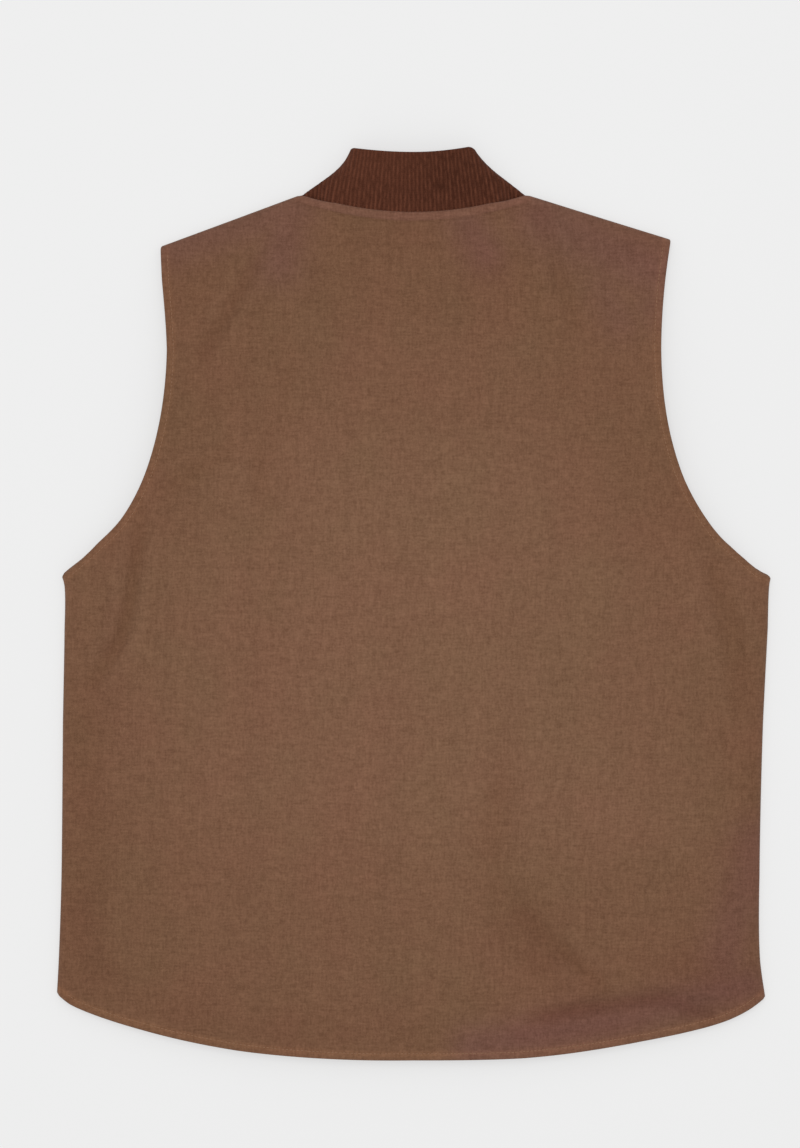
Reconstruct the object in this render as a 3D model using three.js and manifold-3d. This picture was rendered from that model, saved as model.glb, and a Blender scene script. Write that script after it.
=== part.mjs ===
// A canvas work vest with a rib-knit collar, laid flat on its front with the back upwards.
// Millimetres. +X is to the right seen from above, +Y towards the collar and +Z up. The origin is
// under the middle of the vest, on the surface that it lies on.

import * as THREE from 'three';
import { mergeVertices } from 'three/addons/utils/BufferGeometryUtils.js';
import Module from 'manifold-3d';

// Cloth
const CANVAS = 2; // wall of a canvas panel
const TURNED = 1.2; // what a turned and topstitched edge adds to the wall, on the inside
const TURNED_WIDTH = 7; // how far a turned edge reaches in
const KNIT = 3.2; // wall of the knitted collar between its ribs
const RIB_RISE = 0.8; // height of a rib over the furrows beside it
const SEAM_GAP = 0.3; // clearance between two pieces that are sewn together

// How the vest lies: the seams are low, the back arches over them, and the open edges stand apart
const SEAM_HEIGHT = 3.2; // side and shoulder seams over the surface
const NECK_SEAM_RISE = 2.6; // how much higher the shoulder seams run beside the collar
const NECK_SEAM_REACH = 45; // how far from the collar that rise fades out
const ROLL_RISE = 4.2; // the back's rise where it rolls over at a seam
const ROLL_WIDTH = 7; // width of that roll
const FRONT_ROLL_WIDTH = 5; // width of the roll of a front up to a seam
const CROWN = 20; // further rise of the middle of the back
const CROWN_POWER = 2.5; // how flat the crown is across the back
const SHOULDER_SLOPE = 75; // how far from a shoulder seam the crown reaches its height
const ARMHOLE_LIFT = 9; // how far an armhole's edge stands up halfway round it
const ARMHOLE_LIFT_REACH = 70; // how far in from the armhole that lift fades out

// Outline of the back, seen from above
const NECK = { halfWidth: 93.5, y: 343, drop: 13.3 };
const SHOULDER_TIP = { left: { x: -211.5, y: 300 }, right: { x: 215, y: 305 } };
const ARMHOLE = [
  { y: 271.5, left: -210.8, right: 211 },
  { y: 213, left: -206.6, right: 207.5 },
  { y: 154, left: -212.5, right: 212.5 },
  { y: 103.5, left: -227, right: 227 },
  { y: 70, left: -245.5, right: 246 },
  { y: 53, left: -262, right: 260 },
  { y: 36.5, left: -279.5, right: 279.5 },
];
const SIDE = [
  { y: 21.5, left: -294, right: 299 },
  { y: -20, left: -292.5, right: 297 },
  { y: -100, left: -294, right: 293 },
  { y: -230, left: -295.2, right: 290 },
  { y: -300, left: -297.5, right: 290.5 },
  { y: -328, left: -299, right: 294 },
];
const HEM = [
  { x: -288, y: -337 },
  { x: -226, y: -358.5 },
  { x: -145, y: -375.5 },
  { x: -60, y: -382.5 },
  { x: 0, y: -383.2 },
  { x: 90, y: -381.6 },
  { x: 145, y: -375.5 },
  { x: 194, y: -367 },
  { x: 235, y: -358.5 },
  { x: 264, y: -350 },
  { x: 282, y: -340.5 },
];

// Height of the crown from the hem to the neck, as a share of CROWN
const CROWN_ALONG = [
  { along: 0, share: 0.42 },
  { along: 0.2, share: 0.8 },
  { along: 0.45, share: 1 },
  { along: 0.75, share: 0.85 },
  { along: 1, share: 0.42 },
];

// Soft folds pressed into the back, each along a straight stretch
const FOLDS = [
  { name: 'left shoulder', fromX: -133, fromY: 284, toX: -175, toY: 204, depth: 2, width: 16 },
  { name: 'right shoulder', fromX: 107, fromY: 318, toX: 136, toY: 230, depth: 1.5, width: 14 },
  { name: 'left underarm', fromX: -229, fromY: 78, toX: -243, toY: 0, depth: 2.6, width: 15 },
  { name: 'left side', fromX: -243, fromY: 0, toX: -267, toY: -73, depth: 2.2, width: 15 },
  { name: 'right underarm', fromX: 254, fromY: 20, toX: 268, toY: -60, depth: 2, width: 15 },
  { name: 'right waist', fromX: 65, fromY: -190, toX: 107, toY: -275, depth: 2.4, width: 24 },
  { name: 'right tail', fromX: 107, fromY: -275, toX: 157, toY: -321, depth: 2.6, width: 22 },
  { name: 'right hem', fromX: 107, fromY: -354, toX: 224, toY: -331, depth: 2, width: 13 },
];
const FOLD_CLEARANCE = 30; // folds fade out this near to a seam or an edge

// Fronts: the same seams and hem, a deeper armhole and neck, and a gap for the zip
const FRONT_ARMHOLE_DEPTH = 18; // how much further in the front armhole is cut
const FRONT_NECK_Y = 252; // lowest point of the front neck
const FRONT_EDGE = 6; // half the gap between the two fronts

// Collar levels from the neck seam up. The fold is where the band turns from the back to a front
const COLLAR_LEVELS = [
  { foldY: 345, halfWidth: 94.6, backY: 330.4, archZ: 15.4, foldZ: 6 },
  { foldY: 354.5, halfWidth: 79, backY: 346.5, archZ: 17.5, foldZ: 7 },
  { foldY: 367, halfWidth: 64, backY: 363, archZ: 18.6, foldZ: 7.4 },
  { foldY: 382.1, halfWidth: 52.6, backY: 379.4, archZ: 19, foldZ: 7.4 },
];
const COLLAR_FRONT_CLEARANCE = 0.7; // clearance to the curved front neck
const COLLAR_END_HEIGHT = 38; // height of the band at its two front ends
const COLLAR_END = 1.5; // half the gap between those ends
const COLLAR_ARCH_POWER = 2.4; // how square the band's arch over the neck is
const COLLAR_FOLD_REACH = 14; // how far from the fold the front band comes down to the surface
const RIBS = { back: 26, front: 34 }; // from the middle of the back to a fold, and on to a front end

// Zip
const ZIP_TAPE = { halfWidth: 16, thickness: 1 };
const ZIP_TEETH = { halfWidth: 3.2, thickness: 1.8, endInset: 2 };
const ZIP_SLIDER = { halfWidth: 5, length: 14, thickness: 3.6 };
const ZIP_PULL = { halfWidth: 3, length: 30, thickness: 1.2, height: 0.4 };
const ZIP_END_INSET = 6; // from each end of the front edges

// Mesh stations
const ROLL_STEPS = [0, 1, 3, ROLL_WIDTH]; // distances in from a seam
const ROWS = { side: 9, underarm: 3, armhole: 8 }; // rows of faces along each stretch of a long edge
const BACK_COLUMNS = { shoulder: 6, halfNeck: 6 }; // columns of faces along the back's top edge
const FRONT_COLUMNS = { shoulder: 5, neck: 8 }; // the same for a front
const COLLAR_POINTS = { back: 24, front: 40 }; // points that set out a level of the collar
const SIDE_SHARE = 0.5; // share of a panel's long edge that is side seam, below the armhole
const SHOULDER_SHARE = 0.28; // share of the back's top edge that is each shoulder
const FRONT_SHOULDER_SHARE = 0.5; // share of a front's top edge that is shoulder
const SEAM_FADE = 0.07; // share of an edge over which a seam gives way to an opening
const ARMHOLE_LENGTH = 310;
const SIDE_LENGTH = 350;
const BACK_WIDTH = 500; // mean width, for placing the roll's stations
const FRONT_WIDTH = 240;

const CANVAS_FINISH = { color: 0x7c5a46, roughness: 0.9, metalness: 0 };
const KNIT_FINISH = { color: 0x502e21, roughness: 0.95, metalness: 0 };
const ZIP_FINISH = { color: 0x8a6a3a, roughness: 0.45, metalness: 0.7 };

const { lerp, clamp, smoothstep } = THREE.MathUtils;

// Points from one value to another in equal steps, without the first one
function steps(from, to, count) {
  return Array.from({ length: count }, (_, i) => lerp(from, to, (i + 1) / count));
}

// A smooth plan curve through rows of x and y, as a function of the share of its length
function smooth(rows) {
  const points = rows.map(({ x, y }) => new THREE.Vector3(x, y, 0));
  const curve = new THREE.CatmullRomCurve3(points, false, 'centripetal');
  return (share) => curve.getPointAt(clamp(share, 0, 1));
}

function straight(a, b) {
  return smooth([a, b]);
}

// Two edges end to end, the first taking the given share
function joined(first, second, share) {
  return (f) => (f <= share ? first(f / share) : second((f - share) / (1 - share)));
}

function reversed(edge) {
  return (f) => edge(1 - f);
}

// The stretch of an edge between two shares of its length
function stretch(edge, from, to) {
  return (f) => edge(lerp(from, to, f));
}

// A plan surface spanned by four edges: bottom and top run with u, left and right with v
function spanned({ bottom, top, left, right }) {
  const corner = [bottom(0), bottom(1), top(0), top(1)];
  return (u, v) => {
    const across = left(v).multiplyScalar(1 - u).addScaledVector(right(v), u);
    const along = bottom(u).multiplyScalar(1 - v).addScaledVector(top(u), v);
    return across
      .add(along)
      .addScaledVector(corner[0], -(1 - u) * (1 - v))
      .addScaledVector(corner[1], -u * (1 - v))
      .addScaledVector(corner[2], -(1 - u) * v)
      .addScaledVector(corner[3], -u * v);
  };
}

// Quarter-round rise from 0 at a seam to 1 at the roll's width
function rollRise(distance, width) {
  const left = 1 - clamp(distance / width, 0, 1);
  return Math.sqrt(1 - left * left);
}

// Smooth reading of a table between its rows
function reading(table, key, value, x) {
  const next = Math.max(1, table.findIndex((row) => row[key] >= x));
  const [a, b] = [table[next - 1], table[next]];
  return lerp(a[value], b[value], smoothstep(x, a[key], b[key]));
}

// Depth of the folds at a point of the back
function foldDepth(point) {
  let depth = 0;
  for (const fold of FOLDS) {
    const from = new THREE.Vector3(fold.fromX, fold.fromY, 0);
    const to = new THREE.Vector3(fold.toX, fold.toY, 0);
    const nearest = new THREE.Line3(from, to).closestPointToPoint(point, true, new THREE.Vector3());
    depth += fold.depth * Math.exp(-((nearest.distanceTo(point) / fold.width) ** 2));
  }
  return depth;
}

// Height of the sewn seams at a point: a little higher beside the collar
function seamHeight(point) {
  const fromNeck = Math.hypot(Math.abs(point.x) - NECK.halfWidth, point.y - NECK.y);
  return SEAM_HEIGHT + NECK_SEAM_RISE * Math.exp(-((fromNeck / NECK_SEAM_REACH) ** 2));
}

// Share, 1 to 0, by which a panel's long edge is sewn: the side seam, and not the armhole
function sewnAtSide(v) {
  return 1 - smoothstep(v, SIDE_SHARE, SIDE_SHARE + SEAM_FADE);
}

// The same for a top edge: the shoulders, and not the neck between them
function sewnAtTop(fromShoulder) {
  return 1 - smoothstep(fromShoulder, 0, SEAM_FADE);
}

// Unit normals of a grid of points, from the cross product of its two directions
function gridNormals(grid) {
  const [lastRow, lastColumn] = [grid.length - 1, grid[0].length - 1];
  return grid.map((row, r) =>
    row.map((_, c) => {
      const along = grid[Math.min(r + 1, lastRow)][c].clone().sub(grid[Math.max(r - 1, 0)][c]);
      const across = row[Math.min(c + 1, lastColumn)].clone().sub(row[Math.max(c - 1, 0)]);
      return across.cross(along).normalize();
    }),
  );
}

// A closed wall between an outside and an inside grid
function closedWall(outside, inside, winding) {
  const [rows, columns] = [outside.length, outside[0].length];
  const position = [...outside, ...inside].flat().flatMap((point) => point.toArray());
  const index = [];
  const at = (layer, r, c) => (layer * rows + r) * columns + c;
  const quad = (a, b, c, d) => index.push(...(winding > 0 ? [a, b, c, a, c, d] : [a, c, b, a, d, c]));
  for (let r = 0; r < rows - 1; r++) {
    for (let c = 0; c < columns - 1; c++) {
      quad(at(0, r, c), at(0, r, c + 1), at(0, r + 1, c + 1), at(0, r + 1, c));
      quad(at(1, r, c), at(1, r + 1, c), at(1, r + 1, c + 1), at(1, r, c + 1));
    }
  }
  const rim = [];
  for (let c = 0; c < columns - 1; c++) rim.push([0, c]);
  for (let r = 0; r < rows - 1; r++) rim.push([r, columns - 1]);
  for (let c = columns - 1; c > 0; c--) rim.push([rows - 1, c]);
  for (let r = rows - 1; r > 0; r--) rim.push([r, 0]);
  rim.forEach((from, i) => {
    const to = rim[(i + 1) % rim.length];
    quad(at(1, ...from), at(1, ...to), at(0, ...to), at(0, ...from));
  });
  const geometry = new THREE.BufferGeometry();
  geometry.setAttribute('position', new THREE.Float32BufferAttribute(position, 3));
  geometry.setIndex(index);
  geometry.computeVertexNormals();
  return geometry;
}

// A canvas panel: its outside face, and an inside face set in by the wall. At a seam the wall
// stands upright, so that two panels meet edge to edge
function canvasPanel({ columns, rows, plan, height, wall, sewnSides, sewnTop, winding }) {
  const outside = rows.map((v) =>
    columns.map((u) => {
      const point = plan(u, v);
      return point.setZ(height(u, v, point));
    }),
  );
  const normals = gridNormals(outside);
  const [lastRow, lastColumn] = [rows.length - 1, columns.length - 1];
  const level = (a, b) => a.clone().sub(b).setZ(0).normalize();
  const inside = outside.map((row, r) =>
    row.map((point, c) => {
      const out = normals[r][c].multiplyScalar(winding);
      if (r === lastRow && sewnTop(columns[c]) > 0) {
        out.lerp(level(point, outside[r - 1][c]), sewnTop(columns[c]));
      } else if (c === 0 || (c === lastColumn && sewnSides === 'both')) {
        const neighbour = row[c === 0 ? 1 : lastColumn - 1];
        out.lerp(level(point, neighbour), sewnAtSide(rows[r]));
      }
      return point.clone().addScaledVector(out.normalize(), -wall(columns[c], rows[r]));
    }),
  );
  return closedWall(outside, inside, winding);
}

// Outline edges shared by the back and the fronts
const tableEdge = (rows, side) => rows.map((row) => ({ x: row[side], y: row.y }));
const neckPoint = (side) => ({ x: side === 'left' ? -NECK.halfWidth : NECK.halfWidth, y: NECK.y });
const sideSeam = (side) => smooth(tableEdge([...SIDE].reverse(), side));
const backArmhole = (side) =>
  smooth([...tableEdge([SIDE[0], ...[...ARMHOLE].reverse()], side), SHOULDER_TIP[side]]);
const shoulder = (side) => straight(SHOULDER_TIP[side], neckPoint(side));

const hemCorner = (side) => ({ x: SIDE.at(-1)[side], y: SIDE.at(-1).y });
const hem = smooth([hemCorner('left'), ...HEM, hemCorner('right')]);

function backNeck() {
  const [left, right] = [neckPoint('left'), neckPoint('right')];
  const curve = new THREE.QuadraticBezierCurve3(
    new THREE.Vector3(left.x, left.y, 0),
    new THREE.Vector3(0, NECK.y - 2 * NECK.drop, 0),
    new THREE.Vector3(right.x, right.y, 0),
  );
  return (share) => curve.getPointAt(share);
}

// Rows of stations from the hem to the top edge, close together where the cloth rolls over
const rowBelowTop = (distance) => 1 - (distance / ARMHOLE_LENGTH) * (1 - SIDE_SHARE);
const turnedHem = (TURNED_WIDTH / SIDE_LENGTH) * SIDE_SHARE;
const turnedTop = rowBelowTop(TURNED_WIDTH);
const panelRows = [
  0,
  turnedHem,
  ...steps(turnedHem, SIDE_SHARE, ROWS.side),
  ...steps(SIDE_SHARE, SIDE_SHARE + SEAM_FADE, ROWS.underarm),
  ...steps(SIDE_SHARE + SEAM_FADE, rowBelowTop(ROLL_WIDTH), ROWS.armhole),
  ...ROLL_STEPS.slice(0, -1).reverse().map(rowBelowTop),
];

function makeBack() {
  const edges = {
    left: joined(sideSeam('left'), backArmhole('left'), SIDE_SHARE),
    right: joined(sideSeam('right'), backArmhole('right'), SIDE_SHARE),
    bottom: hem,
    top: joined(
      joined(shoulder('left'), backNeck(), SHOULDER_SHARE / (1 - SHOULDER_SHARE)),
      reversed(shoulder('right')),
      1 - SHOULDER_SHARE,
    ),
  };
  const rolled = ROLL_STEPS.map((d) => d / BACK_WIDTH);
  const lastRoll = rolled.at(-1);
  const half = [
    ...rolled,
    ...steps(lastRoll, SHOULDER_SHARE, BACK_COLUMNS.shoulder),
    ...steps(SHOULDER_SHARE, 0.5, BACK_COLUMNS.halfNeck),
  ];
  const columns = [...half, ...half.slice(0, -1).map((u) => 1 - u).reverse()];
  const sewnTop = (u) => sewnAtTop(Math.min(u, 1 - u) - SHOULDER_SHARE);

  const height = (u, v, point) => {
    const fromSide = Math.min(point.distanceTo(edges.left(v)), point.distanceTo(edges.right(v)));
    const fromTop = point.distanceTo(edges.top(u));
    const fromHem = point.distanceTo(edges.bottom(u));
    const sideRoll = lerp(1, rollRise(fromSide, ROLL_WIDTH), sewnAtSide(v));
    const shoulderRoll = lerp(1, rollRise(fromTop, ROLL_WIDTH), sewnTop(u));
    const crown = 1 - Math.abs(2 * u - 1) ** CROWN_POWER;
    const shoulderFall = lerp(1, smoothstep(fromTop, -ROLL_WIDTH, SHOULDER_SLOPE), sewnTop(u));
    const round = clamp((v - SIDE_SHARE) / (1 - SIDE_SHARE), 0, 1);
    const armholeLift = Math.sin(Math.PI * round) * Math.exp(-fromSide / ARMHOLE_LIFT_REACH);
    const foldShare = smoothstep(Math.min(fromSide, fromTop, fromHem), 0, FOLD_CLEARANCE);
    return (
      seamHeight(point) +
      ROLL_RISE * Math.min(sideRoll, shoulderRoll) +
      CROWN * crown * shoulderFall * reading(CROWN_ALONG, 'along', 'share', v) * shoulderRoll +
      ARMHOLE_LIFT * armholeLift -
      foldShare * foldDepth(point)
    );
  };
  const wall = (u, v) => {
    const fromEdge = Math.min(u, 1 - u);
    const atTop = v >= turnedTop;
    const openSide = fromEdge <= lastRoll && !atTop ? 1 - sewnAtSide(v) : 0;
    const openTop = atTop ? 1 - sewnTop(u) : 0;
    const openHem = v <= turnedHem && fromEdge >= lastRoll ? 1 : 0;
    return CANVAS + TURNED * Math.max(openSide, openTop, openHem);
  };
  return canvasPanel({
    columns,
    rows: panelRows,
    plan: spanned(edges),
    height,
    wall,
    sewnSides: 'both',
    sewnTop,
    winding: 1,
  });
}

// Share of the hem's length where it crosses x
function hemShareAt(x) {
  let [low, high] = [0, 1];
  for (let i = 0; i < 40; i++) {
    const middle = (low + high) / 2;
    if (hem(middle).x < x) low = middle;
    else high = middle;
  }
  return low;
}

function frontArmhole(side) {
  const back = backArmhole(side);
  const inwards = side === 'left' ? 1 : -1;
  return (f) => {
    const point = back(f);
    return point.setX(point.x + inwards * FRONT_ARMHOLE_DEPTH * Math.sin(Math.PI * f) ** 2);
  };
}

// The front neck, a quarter ellipse from the shoulder's inner end down to the front edge
function frontNeck(side, inset = 0) {
  const outwards = side === 'left' ? -1 : 1;
  const [wide, deep] = [NECK.halfWidth - FRONT_EDGE - inset, NECK.y - FRONT_NECK_Y - inset];
  const curve = new THREE.EllipseCurve(0, NECK.y, wide, deep, 0, -Math.PI / 2, true);
  return (f) => {
    const { x, y } = curve.getPointAt(f);
    return new THREE.Vector3(outwards * (x + FRONT_EDGE), y, 0);
  };
}

// Columns run from the side seam to the front edge
function makeFront(side) {
  const outwards = side === 'left' ? -1 : 1;
  const atEdge = hemShareAt(outwards * FRONT_EDGE);
  const hemPart = side === 'left' ? stretch(hem, 0, atEdge) : stretch(hem, 1, atEdge);
  const edges = {
    left: joined(sideSeam(side), frontArmhole(side), SIDE_SHARE),
    right: straight(hemPart(1), { x: outwards * FRONT_EDGE, y: FRONT_NECK_Y }),
    bottom: hemPart,
    top: joined(shoulder(side), frontNeck(side), FRONT_SHOULDER_SHARE),
  };
  const rolled = ROLL_STEPS.map((d) => d / FRONT_WIDTH);
  const lastRoll = rolled.at(-1);
  const columns = [
    ...rolled,
    ...steps(lastRoll, FRONT_SHOULDER_SHARE, FRONT_COLUMNS.shoulder),
    ...steps(FRONT_SHOULDER_SHARE, 1 - lastRoll, FRONT_COLUMNS.neck),
    1,
  ];
  const sewnTop = (u) => sewnAtTop(u - FRONT_SHOULDER_SHARE);
  const height = (u, v, point) => {
    const sideLift = sewnAtSide(v) * (1 - rollRise(point.distanceTo(edges.left(v)), FRONT_ROLL_WIDTH));
    const topLift = sewnTop(u) * (1 - rollRise(point.distanceTo(edges.top(u)), FRONT_ROLL_WIDTH));
    return (seamHeight(point) - SEAM_GAP) * Math.max(sideLift, topLift);
  };
  const wall = (u, v) => {
    const atTop = v >= turnedTop;
    const openSide = u <= lastRoll && !atTop ? 1 - sewnAtSide(v) : 0;
    const openTop = atTop ? 1 - sewnTop(u) : 0;
    const openHem = v <= turnedHem && u >= lastRoll ? 1 : 0;
    const openFront = u >= 1 - lastRoll ? 1 : 0;
    return CANVAS + TURNED * Math.max(openSide, openTop, openHem, openFront);
  };
  return canvasPanel({
    columns,
    rows: panelRows,
    plan: spanned(edges),
    height,
    wall,
    sewnSides: 'first',
    sewnTop,
    winding: outwards,
  });
}

// Middle of the band's wall at one level, as two curves: from the middle of the back to the right
// fold, and on from there to the right front end
function collarLevel(level, share) {
  const wall = KNIT + RIB_RISE;
  const halfWidth = level.halfWidth - wall / 2;
  const back = [];
  for (const turn of [0, ...steps(0, Math.PI / 2, COLLAR_POINTS.back)]) {
    const across = Math.sin(turn);
    const arch = (1 - across ** COLLAR_ARCH_POWER) ** (1 / COLLAR_ARCH_POWER);
    const y = lerp(level.backY, level.foldY, across ** 2);
    back.push(new THREE.Vector3(across * halfWidth, y, lerp(level.foldZ, level.archZ, arch)));
  }
  const neck = frontNeck('right', COLLAR_FRONT_CLEARANCE);
  const fold = back.at(-1);
  const toFold = fold.clone().sub(neck(0));
  const front = [fold];
  for (const root of steps(0, 1, COLLAR_POINTS.front)) {
    const f = root ** 2;
    const point = neck(f);
    point.x += lerp(toFold.x, COLLAR_END - FRONT_EDGE, f);
    point.y += lerp(toFold.y, COLLAR_END_HEIGHT * share, f);
    const down = rollRise(Math.hypot(point.x - fold.x, point.y - fold.y), COLLAR_FOLD_REACH);
    front.push(point.setZ(lerp(fold.z, wall / 2, down)));
  }
  return [back, front].map((points) => new THREE.CatmullRomCurve3(points));
}

// The band as a grid: a column for each rib and each furrow, a row for each level
function makeCollar() {
  const middle = COLLAR_LEVELS.map((level, row) => {
    const [back, front] = collarLevel(level, row / (COLLAR_LEVELS.length - 1));
    const toFold = steps(0, 1, 2 * RIBS.back).map((f) => back.getPointAt(f));
    const toEnd = steps(0, 1, 2 * RIBS.front).map((f) => front.getPointAt(f));
    const right = [...toFold, ...toEnd];
    const left = right.map((point) => new THREE.Vector3(-point.x, point.y, point.z)).reverse();
    return [...left, back.getPointAt(0), ...right];
  });
  const normals = gridNormals(middle);
  const face = (sign) =>
    middle.map((row, r) =>
      row.map((point, c) => {
        const rib = c % 2 === 0 ? RIB_RISE / 2 : -RIB_RISE / 2;
        return point.clone().addScaledVector(normals[r][c], sign * (KNIT / 2 + rib));
      }),
    );
  return closedWall(face(1), face(-1), 1);
}

const wasm = await Module();
wasm.setup();

function box(width, length, thickness, x, y, bottom) {
  const geometry = new THREE.BoxGeometry(width, length, thickness);
  return geometry.translate(x, y, bottom + thickness / 2);
}

// Several overlapping closed shapes joined into one
function fused(geometries) {
  const solids = geometries.map((geometry) => {
    geometry.deleteAttribute('normal');
    geometry.deleteAttribute('uv');
    const merged = mergeVertices(geometry);
    const vertProperties = new Float32Array(merged.attributes.position.array);
    const triVerts = new Uint32Array(merged.index.array);
    return new wasm.Manifold(new wasm.Mesh({ numProp: 3, vertProperties, triVerts }));
  });
  const mesh = solids.reduce((whole, solid) => whole.add(solid)).getMesh();
  const joinedGeometry = new THREE.BufferGeometry();
  joinedGeometry.setAttribute('position', new THREE.Float32BufferAttribute(mesh.vertProperties, 3));
  joinedGeometry.setIndex(new THREE.Uint32BufferAttribute(mesh.triVerts, 1));
  joinedGeometry.computeVertexNormals();
  return joinedGeometry;
}

// The zip lies between the fronts, its tape on their inside and its pull underneath
function makeZip() {
  const tapeBottom = CANVAS + TURNED + SEAM_GAP;
  const bottomY = hem(hemShareAt(0)).y + ZIP_END_INSET;
  const topY = FRONT_NECK_Y - ZIP_END_INSET;
  const length = topY - bottomY;
  const teethLength = length - 2 * ZIP_TEETH.endInset;
  const middleY = (topY + bottomY) / 2;
  const teethBottom = tapeBottom - ZIP_TEETH.thickness + ZIP_TAPE.thickness / 2;
  const sliderY = topY - ZIP_SLIDER.length / 2;
  const sliderBottom = ZIP_PULL.height + ZIP_PULL.thickness / 2;
  const pullY = sliderY - ZIP_PULL.length / 2;
  return fused([
    box(2 * ZIP_TAPE.halfWidth, length, ZIP_TAPE.thickness, 0, middleY, tapeBottom),
    box(2 * ZIP_TEETH.halfWidth, teethLength, ZIP_TEETH.thickness, 0, middleY, teethBottom),
    box(2 * ZIP_SLIDER.halfWidth, ZIP_SLIDER.length, ZIP_SLIDER.thickness, 0, sliderY, sliderBottom),
    box(2 * ZIP_PULL.halfWidth, ZIP_PULL.length, ZIP_PULL.thickness, 0, pullY, ZIP_PULL.height),
  ]);
}

function piece(name, geometry, finish) {
  const mesh = new THREE.Mesh(geometry, new THREE.MeshStandardMaterial(finish));
  mesh.name = name;
  return mesh;
}

const vest = new THREE.Group();
vest.add(
  piece('back_panel', makeBack(), CANVAS_FINISH),
  piece('front_panel_left', makeFront('left'), CANVAS_FINISH),
  piece('front_panel_right', makeFront('right'), CANVAS_FINISH),
  piece('rib_collar', makeCollar(), KNIT_FINISH),
  piece('front_zip', makeZip(), ZIP_FINISH),
);

export default vest;
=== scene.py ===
# A canvas work vest with a rib-knit collar, laid flat with its back up, dressed over its solid frame.
# Metres. +X is to the right seen from above, +Y towards the collar and +Z up, as in the frame.

import math

import bpy
import numpy as np
from bpy.props import FloatProperty, FloatVectorProperty, IntProperty, PointerProperty
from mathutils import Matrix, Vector
from mathutils.bvhtree import BVHTree


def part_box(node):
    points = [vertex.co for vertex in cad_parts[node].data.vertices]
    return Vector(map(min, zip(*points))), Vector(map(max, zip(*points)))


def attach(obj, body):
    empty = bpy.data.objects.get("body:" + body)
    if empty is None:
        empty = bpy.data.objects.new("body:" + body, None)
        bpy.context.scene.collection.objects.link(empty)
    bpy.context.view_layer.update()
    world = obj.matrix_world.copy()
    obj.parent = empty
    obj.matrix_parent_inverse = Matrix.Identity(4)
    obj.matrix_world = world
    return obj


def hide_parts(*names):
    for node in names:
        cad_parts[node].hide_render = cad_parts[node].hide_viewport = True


bl_info = {
    "name": "Canvas Work Vest",
    "version": (1, 0, 0),
    "blender": (4, 5, 0),
    "location": "View3D > Sidebar > Vest",
    "description": "Makes the cloth, knit, stitching and zip of a canvas work vest over its solid frame",
    "category": "Object",
}

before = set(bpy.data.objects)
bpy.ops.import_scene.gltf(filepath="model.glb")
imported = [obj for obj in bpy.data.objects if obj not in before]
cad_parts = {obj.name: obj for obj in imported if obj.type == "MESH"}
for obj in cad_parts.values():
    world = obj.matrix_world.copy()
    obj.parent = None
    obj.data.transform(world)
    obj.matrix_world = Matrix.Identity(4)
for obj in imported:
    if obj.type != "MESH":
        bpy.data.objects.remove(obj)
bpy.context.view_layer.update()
ZIP_LOW, ZIP_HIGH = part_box("front_zip")
BODY = "root"

# Image that the camera is set out for, and the size of a pixel on the surface
IMAGE_HEIGHT = 1148
PIXEL = 0.00084
VIEW_CENTRE = (-0.0113, 0.0246)

# How the vest lies: the seams are low, the back arches over them, and the open edges stand apart
SEAM_HEIGHT = 0.0032
NECK_SEAM_RISE = 0.0026
NECK_SEAM_REACH = 0.045
ROLL_RISE = 0.0042
ROLL_WIDTH = 0.007
FRONT_ROLL_WIDTH = 0.005
CROWN_POWER = 2.5
SHOULDER_SLOPE = 0.075
ARMHOLE_LIFT_REACH = 0.07
SEAM_GAP = 0.0003
UPRIGHT_REACH = 0.0006

# Which way along X is outwards on each side
OUTWARDS = {"left": -1, "right": 1}

# Outline of the back, seen from above
NECK_HALF_WIDTH = 0.0935
NECK_Y = 0.3434
NECK_DROP = 0.0152
SHOULDER_TIP = {"left": (-0.2125, 0.2995), "right": (0.2162, 0.3054)}
UNDERARM = {"left": (-0.2956, 0.0235), "right": (0.3004, 0.0225)}
HEM_CORNER = {"left": (-0.2995, -0.328), "right": (0.2956, -0.331)}
ARMHOLE = (
    {"y": 0.028, "left": -0.2907, "right": 0.2898},
    {"y": 0.0365, "left": -0.2805, "right": 0.28},
    {"y": 0.053, "left": -0.2625, "right": 0.2605},
    {"y": 0.07, "left": -0.246, "right": 0.2465},
    {"y": 0.1035, "left": -0.2273, "right": 0.2275},
    {"y": 0.154, "left": -0.2128, "right": 0.213},
    {"y": 0.213, "left": -0.207, "right": 0.2079},
    {"y": 0.2715, "left": -0.2112, "right": 0.2114},
)
SIDE = (
    {"y": -0.3, "left": -0.298, "right": 0.2912},
    {"y": -0.23, "left": -0.2957, "right": 0.2907},
    {"y": -0.1, "left": -0.2945, "right": 0.2937},
    {"y": -0.02, "left": -0.2931, "right": 0.2977},
    {"y": 0.016, "left": -0.2933, "right": 0.299},
)
HEM = (
    {"x": -0.288, "y": -0.337},
    {"x": -0.226, "y": -0.3585},
    {"x": -0.145, "y": -0.3755},
    {"x": -0.06, "y": -0.3825},
    {"x": 0.0, "y": -0.3832},
    {"x": 0.09, "y": -0.3816},
    {"x": 0.145, "y": -0.3755},
    {"x": 0.194, "y": -0.367},
    {"x": 0.235, "y": -0.3585},
    {"x": 0.264, "y": -0.35},
    {"x": 0.283, "y": -0.3405},
)

# Height of the crown from the hem to the neck, as a share of the crown's rise
CROWN_ALONG = (
    {"along": 0.0, "share": 0.42},
    {"along": 0.2, "share": 0.8},
    {"along": 0.45, "share": 1.0},
    {"along": 0.75, "share": 0.85},
    {"along": 1.0, "share": 0.42},
)

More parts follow.
